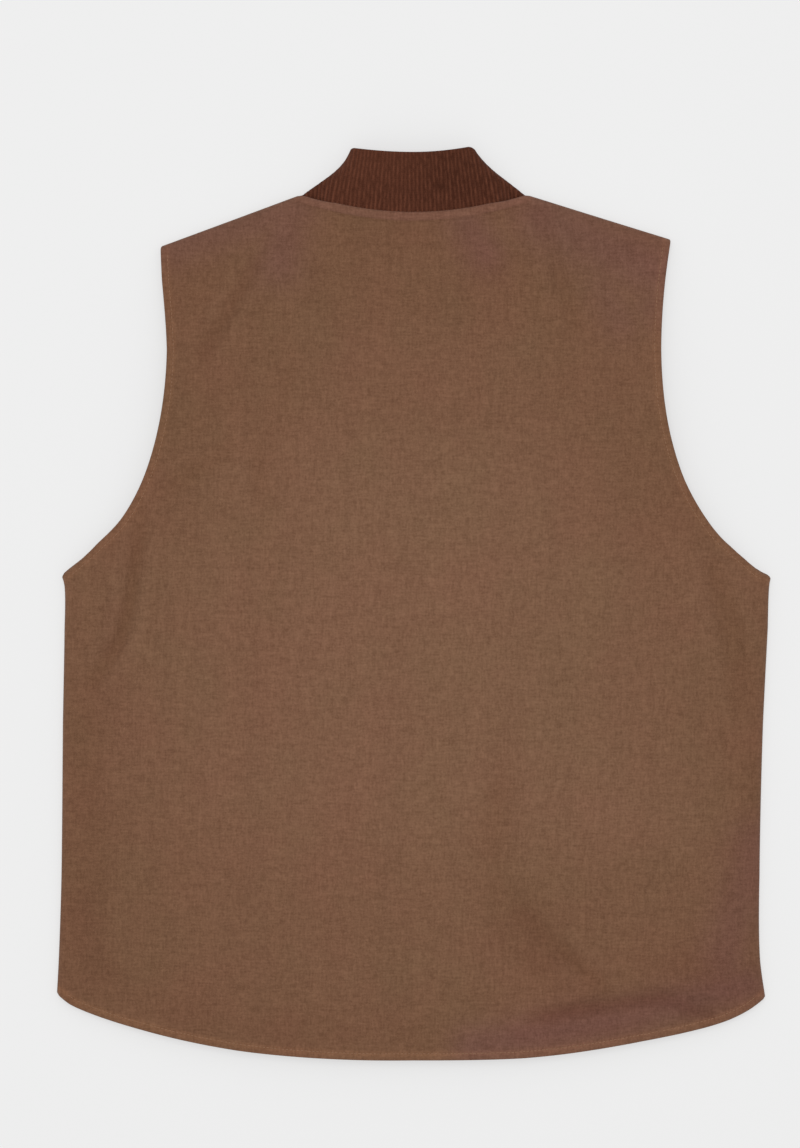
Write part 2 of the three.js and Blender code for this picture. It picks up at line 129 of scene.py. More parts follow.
# Soft folds pressed into the back, each along a smooth line
FOLDS = (
    {"depth": 0.003, "width": 0.006, "line": ((-0.13, 0.287), (-0.15, 0.252), (-0.175, 0.208))},
    {"depth": 0.0025, "width": 0.006, "line": ((0.107, 0.326), (0.12, 0.28), (0.136, 0.23))},
    {
        "depth": 0.004,
        "width": 0.006,
        "line": ((-0.228, 0.078), (-0.234, 0.02), (-0.246, -0.031), (-0.267, -0.065)),
    },
    {"depth": 0.0012, "width": 0.008, "line": ((-0.127, 0.141), (-0.129, 0.112), (-0.124, 0.078))},
    {"depth": 0.0012, "width": 0.009, "line": ((-0.214, 0.09), (-0.179, 0.112), (-0.145, 0.137))},
    {"depth": 0.003, "width": 0.009, "line": ((0.251, 0.028), (0.265, -0.022), (0.275, -0.081))},
    {"depth": 0.001, "width": 0.014, "line": ((0.084, -0.1), (0.073, -0.165), (0.066, -0.21))},
    {"depth": 0.003, "width": 0.006, "line": ((0.088, -0.258), (0.1235, -0.288), (0.161, -0.324))},
    {"depth": 0.0036, "width": 0.006, "line": ((0.1, -0.348), (0.157, -0.336), (0.224, -0.329))},
    {"depth": 0.003, "width": 0.006, "line": ((0.205, -0.329), (0.241, -0.3375), (0.274, -0.333))},
    {"depth": 0.0018, "width": 0.012, "line": ((-0.273, -0.232), (-0.276, -0.274), (-0.27, -0.312))},
    {"depth": 0.002, "width": 0.012, "line": ((0.279, -0.207), (0.276, -0.266), (0.27, -0.312))},
)
FOLD_RIDGE = {"share": 0.35, "place": 1.9}
FOLD_END_SHARE = 0.35
FOLD_CLEARANCE = 0.016

# Low random waves over the back, each of a few sines that cross
RIPPLES = (
    {"wavelength": 0.16, "height": 0.0007, "seed": 3},
    {"wavelength": 0.05, "height": 0.00022, "seed": 5},
    {"wavelength": 0.02, "height": 0.00006, "seed": 8},
)
RIPPLE_WAVES = 9
RIPPLE_STRETCH = (0.7, 1.5)
RIPPLE_BEND = 0.8

# Turned edges: the step at their inner end, and how their outer end is rounded over
TURNED_STEP = {"before": 0.0008, "after": 0.0004}
EDGE_ROUND = {"reach": 0.6, "least": 0.15}

# Topstitching: small uneven puckers, a swell beside the stitches and a groove under them
PUCKER = {"height": 0.00016, "reach": 0.006, "pitch": 0.0093, "sway": 2.2, "sway_length": 0.031}
NECK_PUCKER_PHASE = 4
SWELL = {"share": 0.5, "place": 0.55, "reach": 0.4}
GROOVE_WIDTH = 0.0009
GROOVE_DEPTH = {"edge": 0.0005, "neck": 0.0011, "front": 0.0007}
GROOVE_INSIDE = 0.4
GROOVE_STOP = 0.6
GROOVE_FADE = (0.0005, 0.004)

# Painted light over the back, lighter in its middle with painted shade towards its edges: its share from
# the hem to the neck, and how far out from the middle it reaches
PAINTED_LIGHT_ALONG = (
    {"along": 0.0, "share": 0.15, "width": 0.95},
    {"along": 0.12, "share": 0.5, "width": 0.95},
    {"along": 0.32, "share": 1.0, "width": 1.0},
    {"along": 0.5, "share": 1.0, "width": 0.95},
    {"along": 0.65, "share": 0.95, "width": 0.85},
    {"along": 0.8, "share": 0.45, "width": 0.75},
    {"along": 0.92, "share": 0.02, "width": 0.7},
    {"along": 1.0, "share": -0.1, "width": 0.7},
)
PAINTED_LIGHT_POWER = 3.0
PAINTED_LIGHT_FALL = 1.3
# Painted light on the fronts, with painted shade near their edges and seams: its share, and how far in it
# reaches
FRONT_PAINTED_LIGHT = {"share": 0.7, "reach": 0.05}

# What a fold adds to the painted light, painted shade in its valley and painted light on its ridges, and
# the height that adds 1
FOLD_PAINTED_LIGHT = (-0.6, 0.3)
FOLD_PAINTED_LIGHT_HEIGHT = 0.004

# Painted shade along lines, where the canvas is painted darker, or painted light where the share is below
# nought
SHADES = (
    {"share": 0.9, "reach": 0.011, "line": (SHOULDER_TIP["left"], (-NECK_HALF_WIDTH, NECK_Y))},
    {"share": 0.5, "reach": 0.011, "line": (SHOULDER_TIP["right"], (NECK_HALF_WIDTH, NECK_Y))},
    {"share": 0.35, "reach": 0.02, "line": ((-0.272, -0.07), (-0.276, -0.2), (-0.272, -0.31))},
    {"share": 0.25, "reach": 0.02, "line": ((0.27, -0.02), (0.283, -0.15), (0.28, -0.3))},
    {"share": 0.5, "reach": 0.026, "line": ((0.09, -0.262), (0.108, -0.285))},
    {"share": 0.35, "reach": 0.018, "line": ((0.073, -0.165), (0.066, -0.2), (0.072, -0.235))},
    {"share": 0.35, "reach": 0.018, "line": ((0.284, -0.22), (0.28, -0.31))},
    {"share": 0.6, "reach": 0.014, "line": ((0.15, -0.333), (0.24, -0.335))},
    {
        "share": 0.7,
        "reach": 0.007,
        "line": ((0.11, -0.346), (0.157, -0.336), (0.224, -0.329), (0.243, -0.337)),
    },
    {"share": 0.3, "reach": 0.014, "line": ((-0.272, -0.3), (-0.268, -0.315))},
    {"share": 0.17, "reach": 0.018, "line": ((-0.105, 0.2), (-0.118, 0.1), (-0.14, -0.1))},
    {"share": -0.28, "reach": 0.04, "line": ((0.135, -0.165), (0.225, -0.185))},
    {"share": -0.2, "reach": 0.03, "line": ((0.175, 0.26), (0.185, 0.17))},
)

# Painted shade along the folds and turned edges
CREASE_SHADES = (
    {
        "share": 0.75,
        "reach": 0.006,
        "line": (
            (0.1105, -0.346),
            (0.148, -0.34),
            (0.19, -0.334),
            (0.216, -0.334),
            (0.236, -0.343),
            (0.25, -0.347),
        ),
    },
    {"share": 0.35, "reach": 0.025, "line": ((0.232, -0.305), (0.27, -0.32))},
    {"share": 0.45, "reach": 0.018, "line": ((0.098, -0.268), (0.108, -0.29), (0.125, -0.304))},
    {"share": 0.35, "reach": 0.014, "line": ((-0.276, -0.25), (-0.272, -0.31))},
    {"share": 0.3, "reach": 0.009, "line": ((-0.236, 0.05), (-0.2475, 0.003), (-0.26, -0.04))},
    {"share": 0.25, "reach": 0.006, "line": FOLDS[0]["line"]},
    {"share": 0.2, "reach": 0.008, "line": ((0.106, 0.325), (0.112, 0.295), (0.12, 0.27))},
    {"share": 0.25, "reach": 0.014, "line": ((-0.03, 0.31), (0.005, 0.308))},
    {"share": 0.25, "reach": 0.014, "line": ((0.05, 0.312), (0.06, 0.285))},
    {"share": 0.2, "reach": 0.012, "line": ((-0.2, -0.345), (-0.12, -0.356), (-0.06, -0.362))},
    {"share": 0.28, "reach": 0.01, "line": ((0.09, -0.362), (0.125, -0.358), (0.165, -0.352))},
)

# The strip between the neck seam and its pressed line, and the line itself, which is painted shade
NECK_STRIP = {"worn": 0.47, "bloom": 0.75, "edge": 0.85, "line_shade": 0.6, "line_width": 0.0009}

# How pale a topstitched edge has worn: beside its stitches, and less from there out to the edge
SEAM_WEAR = {"width": 0.0019, "edge": 0.3, "edge_place": 0.5}
ARMHOLE_WEAR = 0.6
FRONT_WEAR = 0.6

# Where the dye has a cooler, darker bloom. The first row, along the right of the hem, is also painted shade
# under the fold there
BLOOMS = (
    {"share": 1.0, "reach": 0.019, "line": ((0.05, -0.371), (0.13, -0.357), (0.2, -0.343), (0.28, -0.32))},
    {
        "share": 0.75,
        "reach": 0.022,
        "line": ((0.286, -0.2), (0.276, -0.25), (0.264, -0.29), (0.266, -0.325)),
    },
    {"share": 0.8, "reach": 0.02, "line": ((-0.2, 0.3), (-0.15, 0.317), (-0.1, 0.33))},
    {"share": 0.9, "reach": 0.03, "line": ((0.205, 0.28), (0.16, 0.3), (0.11, 0.325))},
    {"share": 0.8, "reach": 0.022, "line": ((-0.108, 0.318), (-0.112, 0.285))},
    {"share": 0.8, "reach": 0.02, "line": ((0.045, 0.32), (0.06, 0.295))},
    {"share": 0.6, "reach": 0.022, "line": ((0.205, 0.29), (0.2, 0.25))},
    {"share": 0.55, "reach": 0.02, "line": ((0.158, 0.268), (0.174, 0.238))},
)

# Tints that the canvas is multiplied by: from the first to the second over a mask, or up to the one
CANVAS_TINTS = {
    "dye": ((1.025, 0.98, 0.995), (0.98, 1.015, 0.985)),
    "warp": ((0.98, 0.98, 0.98), (1.02, 1.02, 1.02)),
    # From painted shade to painted light
    "fade": ((0.915, 0.868, 0.812), (1.07, 1.075, 1.08)),
    # Cooler, darker tint, in part painted shade
    "bloom": (0.965, 0.905, 1.17),
    # Tint of the painted shade in the folds
    "crease": (0.845, 0.755, 0.765),
    "worn": (1.25, 1.24, 1.2),
}
FINE_YARN_SHARE = 0.72
WARP_STRETCH = (5.0, 0.22, 1.0)

# Depth of the finest relief, which is in the materials
RELIEF_DEPTH = {
    "canvas": 0.00022,
    "knit": 0.00025,
    "thread": 0.0001,
    "tape": 0.0002,
    "brass": 0.00005,
    "floor": 0.00002,
}

# Fronts: the same seams and hem, a deeper armhole and neck, and a gap for the zip
FRONT_ARMHOLE_DEPTH = 0.018
FRONT_NECK_Y = 0.252
FRONT_EDGE = 0.006

# Collar levels from the neck seam up. The fold is where the band turns from the back to a front
COLLAR_LEVELS = (
    {"fold_y": 0.3406, "half_width": 0.0955, "back_y": 0.3257, "arch_z": 0.0124, "fold_z": 0.0045},
    {"fold_y": 0.3545, "half_width": 0.0775, "back_y": 0.3455, "arch_z": 0.0172, "fold_z": 0.0068},
    {"fold_y": 0.367, "half_width": 0.0627, "back_y": 0.362, "arch_z": 0.0186, "fold_z": 0.0074},
    {"fold_y": 0.3824, "half_width": 0.0518, "back_y": 0.3782, "arch_z": 0.019, "fold_z": 0.0074},
)
COLLAR_SIDES = {
    "left": {"corner": 0.0016, "rise": -0.0003, "pinch": 0.0025, "flare": 0.0012},
    "right": {"corner": 0.0045, "rise": 0.0012, "pinch": 0.0, "flare": 0.0},
}
COLLAR_HEIGHT = 0.052
COLLAR_SET_DOWN = 0.0009
COLLAR_SEAM_SHARE = 0.5
COLLAR_FRONT_CLEARANCE = 0.0007
COLLAR_END_HEIGHT = 0.038
COLLAR_END = 0.0015
COLLAR_ARCH_POWER = 2.4
COLLAR_TOP_POWER = 8
COLLAR_FOLD_REACH = 0.014
COLLAR_ROUND = {"reach": 0.5, "least": 0.12}

# Ribs, which are lower where the band turns on edge, and whose painted light and shade is weaker there. A
# tilt of 1 lies level
RIB_PITCH = {"seam": 0.0036, "top": 0.0031}
RIB_POWER = 1.3
RIB_LEAST = 0.15
RIB_TILT = (0.5, 0.97)
CREST_TILT = (0.35, 0.9)
EVEN_RIBS = 28

# Loops of the knit, uneven stretches of its ribs, how strong the painted light on the crests is up the
# band, and the mottle
KNIT_LOOP = {"pitch": 0.0019, "lean": 4.2}
KNIT_UNEVEN = {"per_metre": 75.0, "scale": 1.6, "noise": (0.3, 0.7), "share": (-0.2, 1.2)}
CREST_ALONG = {"rise": (0.008, 0.045), "share": (0.72, 0.55)}
KNIT_MOTTLE = {"loop": 0.08, "fibre": 0.3}

# Where the knit is paler, or darker where the share is below nought
KNIT_MARKS = (
    {"share": 0.12, "reach": 0.024, "line": ((-0.05, 0.372), (-0.02, 0.374))},
    {"share": -0.16, "reach": 0.022, "line": ((0.03, 0.352), (0.055, 0.35))},
)

# One stitch from end to end, in shares of half its length and half its thread
STITCH_RINGS = (
    {"along": -1.0, "radius": 0.25},
    {"along": -0.82, "radius": 0.75},
    {"along": -0.4, "radius": 1.0},
    {"along": 0.0, "radius": 1.0},
    {"along": 0.4, "radius": 1.0},
    {"along": 0.82, "radius": 0.75},
    {"along": 1.0, "radius": 0.25},
)
STITCH_SIDES = 6
STITCH_FLATNESS = 0.8
STITCH_RISE = 0.35
STITCH_DIP = 1.1
STITCH_LINE_END = 0.007
RAY_START = 1.0

# Front zip: how far above the hem's edge it ends, its woven ribs, its teeth and the slider's blocks
ZIP_FOOT = 0.0016
TAPE_RIB = {"height": 0.00008, "pitch": 0.0027}
TOOTH = {"size": (0.0042, 0.0012, 0.0016), "bevel": 0.0003, "aside": 0.0013, "below": 0.0006}
TEETH_FROM_FOOT = 0.003
TEETH_FROM_TOP = 0.012
SLIDER_FROM_TOP = 0.007
SLIDER_BLOCKS = (
    {"size": (0.0098, 0.0138, 0.0008), "bevel": 0.003, "below": 0.0013},
    {"size": (0.0034, 0.008, 0.0008), "bevel": 0.001, "below": 0.002},
)
PULL = {"size": (0.0058, 0.028, 0.0007), "bevel": 0.0018, "down": 0.016, "above": 0.0002}
SOFTENED_EDGE = {"width": 0.0002, "segments": 2}

# The floor and the light over it
FLOOR_REACH = 6.0
KEY_LIGHT = {"place": (-0.15, 0.5, 3.0), "size": 1.6}
WHITE = (1.0, 1.0, 1.0, 1.0)

# Mesh stations: distances in from an edge, and the spacing between them further in
EDGE_STATIONS = np.array(
    [0, 0.3, 0.8, 1.5, 2.4, 3.4, 4.4, 5.2, 5.8, 6.4, 7.0, 7.6, 8.4, 9.4, 10.6, 12.5, 15]
) * 0.001
SPACING = {"back": 0.0036, "front": 0.006}
MEAN_SIZE = {"back": (0.55, 0.69), "front": (0.26, 0.65)}
SIDE_SHARE = 0.5
SHOULDER_SHARE = 0.28
FRONT_SHOULDER_SHARE = 0.5
SEAM_FADE = 0.07
EDGE_POINTS = 2000
NEAR_POINTS = 160
CHUNK = 4000

# Points of the lines, and rows and columns of the meshes
LINE_POINTS = {"neck": 81, "front_neck": 121, "front_armhole": 400}
KNOT_POWER = 0.5
COLLAR_POINTS = {"back": 120, "front": 160}
COLUMNS_PER_RIB = {"back": 8, "front": 4}
COLLAR_ROWS = {"fine": 40, "coarse": 17}
COLLAR_FINE_HEIGHT = 0.02
COLLAR_COARSE_END = 0.0026
COLLAR_TOP_ROWS = np.array([1.8, 1.15, 0.65, 0.3, 0.1, 0]) * 0.001
TAPE_ROWS = 420
TAPE_COLUMNS = 25

# Sockets of a Mix node that mixes colours
MIX_FACTOR = 0
MIX_COLOURS = (6, 7)
MIX_RESULT = 2


def length_setting(name, description, default):
    return FloatProperty(
        name=name,
        description=description,
        default=default,
        min=0.0,
        unit="LENGTH",
        subtype="DISTANCE",
        precision=4,
    )


def share_setting(name, description, default, highest=1.0):
    return FloatProperty(
        name=name, description=description, default=default, min=0.0, max=highest, subtype="FACTOR"
    )


def colour_setting(name, description, default):
    return FloatVectorProperty(
        name=name, description=description, default=default, min=0.0, max=1.0, size=3, subtype="COLOR"
    )


class VestCanvasSettings(bpy.types.PropertyGroup):
    """Sizes and colours of the canvas panels."""

    wall: length_setting("Canvas", "Thickness of a canvas panel", 0.0018)
    turned: length_setting("Turned edge", "Thickness that a turned and stitched edge adds", 0.0012)
    turned_width: length_setting("Turned width", "How far a turned edge reaches in", 0.0072)
    crown: length_setting("Crown", "Rise of the middle of the back over its seams", 0.02)
    armhole_lift: length_setting("Armhole lift", "How far an armhole's edge stands up", 0.009)
    fold_strength: share_setting("Folds", "Depth of the soft folds", 1.0, 2.0)
    dark_yarn: colour_setting("Dark yarn", "Colour of the darker yarns", (0.1375, 0.0652, 0.0347))
    light_yarn: colour_setting("Light yarn", "Colour of the lighter yarns", (0.2245, 0.1148, 0.0656))


class VestCollarSettings(bpy.types.PropertyGroup):
    """Sizes and colours of the rib-knit collar."""

    wall: length_setting("Knit", "Thickness of the band between its ribs", 0.0032)
    rib_rise: length_setting("Rib rise", "Height of a rib over its furrows", 0.0006)
    ribs: IntProperty(
        name="Ribs",
        description="Ribs from the middle of the back to a front end",
        default=65,
        min=8,
    )
    # The furrow colour is painted shade between the ribs, and the crest colour holds painted light on them
    shaded_furrow: colour_setting("Furrow", "Colour between the ribs", (0.0535, 0.0148, 0.0066))
    crest: colour_setting("Crest", "Colour of the ribs", (0.133, 0.0432, 0.0224))


class VestStitchSettings(bpy.types.PropertyGroup):
    """Sizes and colours of the stitching."""

    length: length_setting("Stitch", "Length of one stitch", 0.0026)
    gap: length_setting("Gap", "Gap between two stitches", 0.0006)
    thread: length_setting("Thread", "Width of the thread", 0.0007)
    inset: length_setting("Inset", "Distance of a stitch line from a turned edge", 0.0057)
    neck_inset: length_setting("Neck inset", "Distance of the neck's pressed line from the collar", 0.008)
    colour: colour_setting("Thread colour", "Colour of the thread", (0.28, 0.142, 0.076))


class VestZipSettings(bpy.types.PropertyGroup):
    """Sizes and colours of the front zip."""

    tape_wall: length_setting("Tape", "Thickness of the tape", 0.0009)
    tooth_pitch: length_setting("Tooth pitch", "Distance between two teeth of one side", 0.0028)
    tape: colour_setting("Tape colour", "Colour of the woven tape", (0.075, 0.036, 0.021))
    brass: colour_setting("Brass", "Colour of the teeth and the slider", (0.43, 0.29, 0.13))


class VestStageSettings(bpy.types.PropertyGroup):
    """The floor, the light and the camera."""

    floor: colour_setting("Floor", "Colour of the floor", (0.3, 0.3, 0.3))
    key: FloatProperty(
        name="Key light",
        description="Power of the large light",
        default=25.0,
        min=0.0,
        unit="POWER",
    )
    glow: share_setting("Floor glow", "Light that the floor gives off, which softens the shadows", 0.562)
    ambient: share_setting("Ambient", "Strength of the light from all round", 0.75, 4.0)
    lens: FloatProperty(name="Lens", description="Focal length", default=200.0, min=20.0, unit="CAMERA")


class VestSettings(bpy.types.PropertyGroup):
    """Everything about the vest that a user would change."""

    canvas: PointerProperty(type=VestCanvasSettings)
    collar: PointerProperty(type=VestCollarSettings)
    stitches: PointerProperty(type=VestStitchSettings)
    zip: PointerProperty(type=VestZipSettings)
    stage: PointerProperty(type=VestStageSettings)


# Plan curves and grids


def smoothstep(x, low, high):
    share = np.clip((x - low) / (high - low), 0, 1)
    return share * share * (3 - 2 * share)


def bump(distance, width):
    return np.exp(-((distance / width) ** 2))


def reaches(points, power=1.0):
    """How far along a line each of its points is, with the steps between them raised to a power."""
    steps = np.linalg.norm(np.diff(points, axis=0), axis=1) ** power
    return np.concatenate([[0], np.cumsum(steps)])


def read_at(at, keys, points):
    """Places on a line whose own points stand at the keys."""
    return np.stack([np.interp(at, keys, column) for column in points.T], axis=-1)


def at_reaches(points, at):
    """Points of a line at given distances along it."""
    points = np.asarray(points, float)
    return read_at(at, reaches(points), points)


def even(points, count):
    """The same line with evenly spaced points."""
    return at_reaches(points, np.linspace(0, reaches(points)[-1], count))


def curve_through(points, steps=40):
    """A smooth line through points, dense enough to be used as it is."""
    points = np.asarray(points, float)
    padded = np.vstack([2 * points[0] - points[1], points, 2 * points[-1] - points[-2]])
    knots = reaches(padded, KNOT_POWER)
    line = []
    for i in range(1, len(padded) - 2):
        t = np.linspace(knots[i], knots[i + 1], steps, endpoint=False)[:, None]
        values = [np.repeat(point[None], steps, axis=0) for point in padded[i - 1 : i + 3]]
        for depth in range(1, 4):
            low = knots[i - 1 : i + 3 - depth]
            high = knots[i - 1 + depth : i + 3]
            values = [
                ((high[k] - t) * values[k] + (t - low[k]) * values[k + 1]) / (high[k] - low[k])
                for k in range(4 - depth)
            ]
        line.append(values[0])
    return np.vstack([*line, points[-1:]])


def along(edge, share):
    """Places at shares of an edge's evenly spread points."""
    return read_at(np.asarray(share) * (len(edge) - 1), np.arange(len(edge)), edge)


def joined(*stretches):
    """Lines end to end, each given with its share of the whole edge."""
    return np.vstack([even(line, round(share * EDGE_POINTS)) for line, share in stretches])


def table_line(rows, side):
    return [(row[side], row["y"]) for row in rows]


def stations(length, spacing, marks=()):
    """Shares of a length: close together near both ends, evenly spread between, and one on each mark."""
    last = EDGE_STATIONS[-1]
    middle = np.linspace(last, length - last, round((length - 2 * last) / spacing) + 1)[1:-1]
    shares = np.concatenate([EDGE_STATIONS, middle, length - EDGE_STATIONS[::-1]]) / length
    for mark in marks:
        shares[np.argmin(np.abs(shares - mark))] = mark
    return shares


def spanned(edges, u, v):
    """A plan grid between four edges: columns run with u, rows with v."""
    left, right = (along(edges[name], v)[:, None] for name in ("left", "right"))
    bottom, top = (along(edges[name], u)[None] for name in ("bottom", "top"))
    u, v = u[None, :, None], v[:, None, None]
    corners = (1 - v) * ((1 - u) * edges["bottom"][0] + u * edges["bottom"][-1])
    corners = corners + v * ((1 - u) * edges["top"][0] + u * edges["top"][-1])
    return (1 - u) * left + u * right + (1 - v) * bottom + v * top - corners


def spread(plan, u, v, size, rounds=400):
    """The same grid with each inner point drawn between its neighbours, so that no part folds over."""
    across, up = u * size[0], v * size[1]
    left, right = np.diff(across)[:-1, None], np.diff(across)[1:, None]
    below, above = np.diff(up)[:-1, None, None], np.diff(up)[1:, None, None]
    pull_across, pull_up = 1 / (left * right), 1 / (below * above)
    for _ in range(rounds):
        between = (plan[1:-1, :-2] * right + plan[1:-1, 2:] * left) / (left + right)
        level = (plan[:-2, 1:-1] * above + plan[2:, 1:-1] * below) / (below + above)
        plan[1:-1, 1:-1] = (pull_across * between + pull_up * level) / (pull_across + pull_up)
    return plan


def nearest(plan, line):
    """Distance of each grid point from a line, and how far along the line its nearest point is."""
    line = even(line, NEAR_POINTS)
    start, step = line[:-1], np.diff(line, axis=0)
    points = plan.reshape(-1, 1, 2)
    distance, place = [], []
    for first in range(0, len(points), CHUNK):
        part = points[first : first + CHUNK]
        share = np.clip(((part - start) * step).sum(-1) / (step * step).sum(-1), 0, 1)
        gap = np.linalg.norm(part - start - share[..., None] * step, axis=-1)
        best = gap.argmin(1)
        rows = np.arange(len(part))
        distance.append(gap[rows, best])
        place.append((best + share[rows, best]) * np.linalg.norm(step[0]))
    return tuple(np.concatenate(part).reshape(plan.shape[:2]) for part in (distance, place))


def grid_normals(grid):
    """Unit normals of a grid of points."""
    normal = np.cross(np.gradient(grid, axis=1), np.gradient(grid, axis=0))
    return normal / np.linalg.norm(normal, axis=-1, keepdims=True)


def ripples(plan, wavelength, height, seed):
    """Low random waves in the cloth, the same on every run."""
    rng = np.random.default_rng(seed)
    total = np.zeros(plan.shape[:2])
    for _ in range(RIPPLE_WAVES):
        angle, phase, turn = rng.uniform(0, math.tau, 3)
        stretch = wavelength * rng.uniform(*RIPPLE_STRETCH)
        way = plan[..., 0] * math.cos(angle) + plan[..., 1] * math.sin(angle)
        across = plan[..., 0] * math.sin(turn) + plan[..., 1] * math.cos(turn)
        bend = RIPPLE_BEND * np.sin(across / stretch)
        total += np.sin(math.tau * way / stretch + phase + bend)
    return height * total / math.sqrt(RIPPLE_WAVES)


# Meshes


def new_object(name, vertices, faces, material):
    mesh = bpy.data.meshes.new(name)
    mesh.from_pydata(vertices, [], faces)
    mesh.materials.append(material)
    made = bpy.data.objects.new(name, mesh)
    bpy.context.scene.collection.objects.link(made)
    return made


def smooth_object(name, vertices, faces, material):
    """A smooth piece from arrays of points and faces."""
    made = new_object(name, vertices.reshape(-1, 3).tolist(), faces.tolist(), material)
    made.data.shade_smooth()
    return made


def walled_mesh(name, outside, inside, material, flipped=False):
    """A closed cloth wall between an outside and an inside grid of points."""
    rows, columns = outside.shape[:2]
    number = np.arange(rows * columns).reshape(rows, columns)
    a, b, c, d = number[:-1, :-1], number[:-1, 1:], number[1:, 1:], number[1:, :-1]
    outer = np.stack([a, b, c, d], axis=-1).reshape(-1, 4)
    inner = np.stack([a, d, c, b], axis=-1).reshape(-1, 4) + number.size
    ring = np.concatenate([number[0, :-1], number[:-1, -1], number[-1, :0:-1], number[:0:-1, 0]])
    after = np.roll(ring, -1)
    rim = np.stack([ring + number.size, after + number.size, after, ring], axis=1)
    faces = np.vstack([outer, inner, rim])
    if flipped:
        faces = faces[:, ::-1]
    return smooth_object(name, np.concatenate([outside, inside]), faces, material)


def set_attribute(made, name, values):
    """A value for each point of a mesh, for its material to read."""
    attribute = made.data.attributes.new(name, "FLOAT", "POINT")
    attribute.data.foreach_set("value", np.ravel(values).astype(np.float32))


def paint(made, **masks):
    """Masks over the outside of a cloth wall. Its inside stays plain."""
    for name, values in masks.items():
        set_attribute(made, name, np.concatenate([values, np.zeros_like(values)]))


def dress(made, slot, *nodes):
    """The piece rides on the vest and stands for its CAD nodes, which are hidden."""
    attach(made, BODY)
    if nodes:
        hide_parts(*nodes)


# Outline of the panels


def hem_line():
    return curve_through([HEM_CORNER["left"], *[(row["x"], row["y"]) for row in HEM], HEM_CORNER["right"]])


def side_line(side):
    return curve_through([HEM_CORNER[side], *table_line(SIDE, side), UNDERARM[side]])


def armhole_line(side):
    return curve_through([UNDERARM[side], *table_line(ARMHOLE, side), SHOULDER_TIP[side]])


def neck_end(side):
    return (OUTWARDS[side] * NECK_HALF_WIDTH, NECK_Y)


def shoulder_line(side):
    return [SHOULDER_TIP[side], neck_end(side)]


def neck_points(across):
    """Points of the back's neck edge, from its left end at -1 to its right end at 1."""
    return np.stack([across * NECK_HALF_WIDTH, NECK_Y - NECK_DROP * (1 - across**2)], axis=-1)


def neck_line():
    return neck_points(np.linspace(-1, 1, LINE_POINTS["neck"]))


def front_armhole_line(side):
    line = even(armhole_line(side), LINE_POINTS["front_armhole"])
    deeper = FRONT_ARMHOLE_DEPTH * np.sin(np.linspace(0, math.pi, len(line))) ** 2
    line[:, 0] -= OUTWARDS[side] * deeper
    return line


def front_neck_line(side, inset=0.0):
    """A quarter ellipse from the shoulder's inner end down to the front edge."""
    turn = np.linspace(0, math.pi / 2, LINE_POINTS["front_neck"])
    wide = NECK_HALF_WIDTH - FRONT_EDGE - inset
    deep = NECK_Y - FRONT_NECK_Y - inset
    out = FRONT_EDGE + wide * np.cos(turn)
    return np.stack([OUTWARDS[side] * out, NECK_Y - deep * np.sin(turn)], axis=1)


def front_hem_line(side):
    """The stretch of the hem from the side seam to the front edge."""
    line = even(hem_line(), EDGE_POINTS)
    if side == "left":
        return line[line[:, 0] <= -FRONT_EDGE]
    return line[line[:, 0] >= FRONT_EDGE][::-1]


def front_edge_line(side):
    """The straight front edge from the hem up to the neck."""
    return [front_hem_line(side)[-1], (OUTWARDS[side] * FRONT_EDGE, FRONT_NECK_Y)]


# Height, wall and marks of the cloth


def sewn_to(share, end):
    """How firmly an edge is sewn: 1 up to the end of its seam, and soon 0 past it."""
    return 1 - smoothstep(share, end, end + SEAM_FADE)


def rolled(distance, width):
    """Quarter-round rise from 0 at a seam to 1 at the roll's width."""
    left = 1 - np.clip(distance / width, 0, 1)
    return np.sqrt(1 - left * left)


def rounded_over(distance, wall, shape):
    """Share of a wall's thickness near an edge that is rounded over."""
    return np.maximum(rolled(distance, shape["reach"] * wall), shape["least"])


def seam_height(plan):
    from_neck = np.hypot(np.abs(plan[..., 0]) - NECK_HALF_WIDTH, plan[..., 1] - NECK_Y)
    return SEAM_HEIGHT + NECK_SEAM_RISE * bump(from_neck, NECK_SEAM_REACH)


def fold_relief(plan):
    """Valleys of the soft folds with a low ridge on each side."""
    relief = np.zeros(plan.shape[:2])
    for fold in FOLDS:
        distance, place = nearest(plan, curve_through(fold["line"]))
        share = place / place.max()
        taper = FOLD_END_SHARE + (1 - FOLD_END_SHARE) * np.sin(math.pi * share)
        from_ridge = distance - FOLD_RIDGE["place"] * fold["width"]
        ridge = FOLD_RIDGE["share"] * bump(from_ridge, fold["width"])
        relief += fold["depth"] * taper * (ridge - bump(distance, fold["width"]))
    return relief


def marked(plan, rows):
    """Soft marks along lines, a mask for each row of a table."""
    return [
        row["share"] * bump(nearest(plan, curve_through(row["line"]))[0], row["reach"])
        for row in rows
    ]


def share_along(rows, v, column="share"):
    """A smooth run through a column of a table from the hem to the neck."""
    keys = [row["along"] for row in rows]
    shares = [row[column] for row in rows]
    after = np.clip(np.searchsorted(keys, v), 1, len(keys) - 1)
    low, high = np.take(keys, after - 1), np.take(keys, after)
    rise = smoothstep(v, low, high)
    return np.take(shares, after - 1) * (1 - rise) + np.take(shares, after) * rise


def stitched_relief(distance, place, inset, depth, phase):
    """What topstitching does beside an edge: a swell, a groove under the stitches and small puckers."""
    sway = PUCKER["sway"] * np.sin(place / PUCKER["sway_length"] + phase)
    wave = np.sin(math.tau * place / PUCKER["pitch"] + sway)
    pucker = PUCKER["height"] * bump(distance - inset, PUCKER["reach"]) * wave
    swell = SWELL["share"] * depth * bump(distance - SWELL["place"] * inset, SWELL["reach"] * inset)
    return swell - depth * bump(distance - inset, GROOVE_WIDTH) + pucker


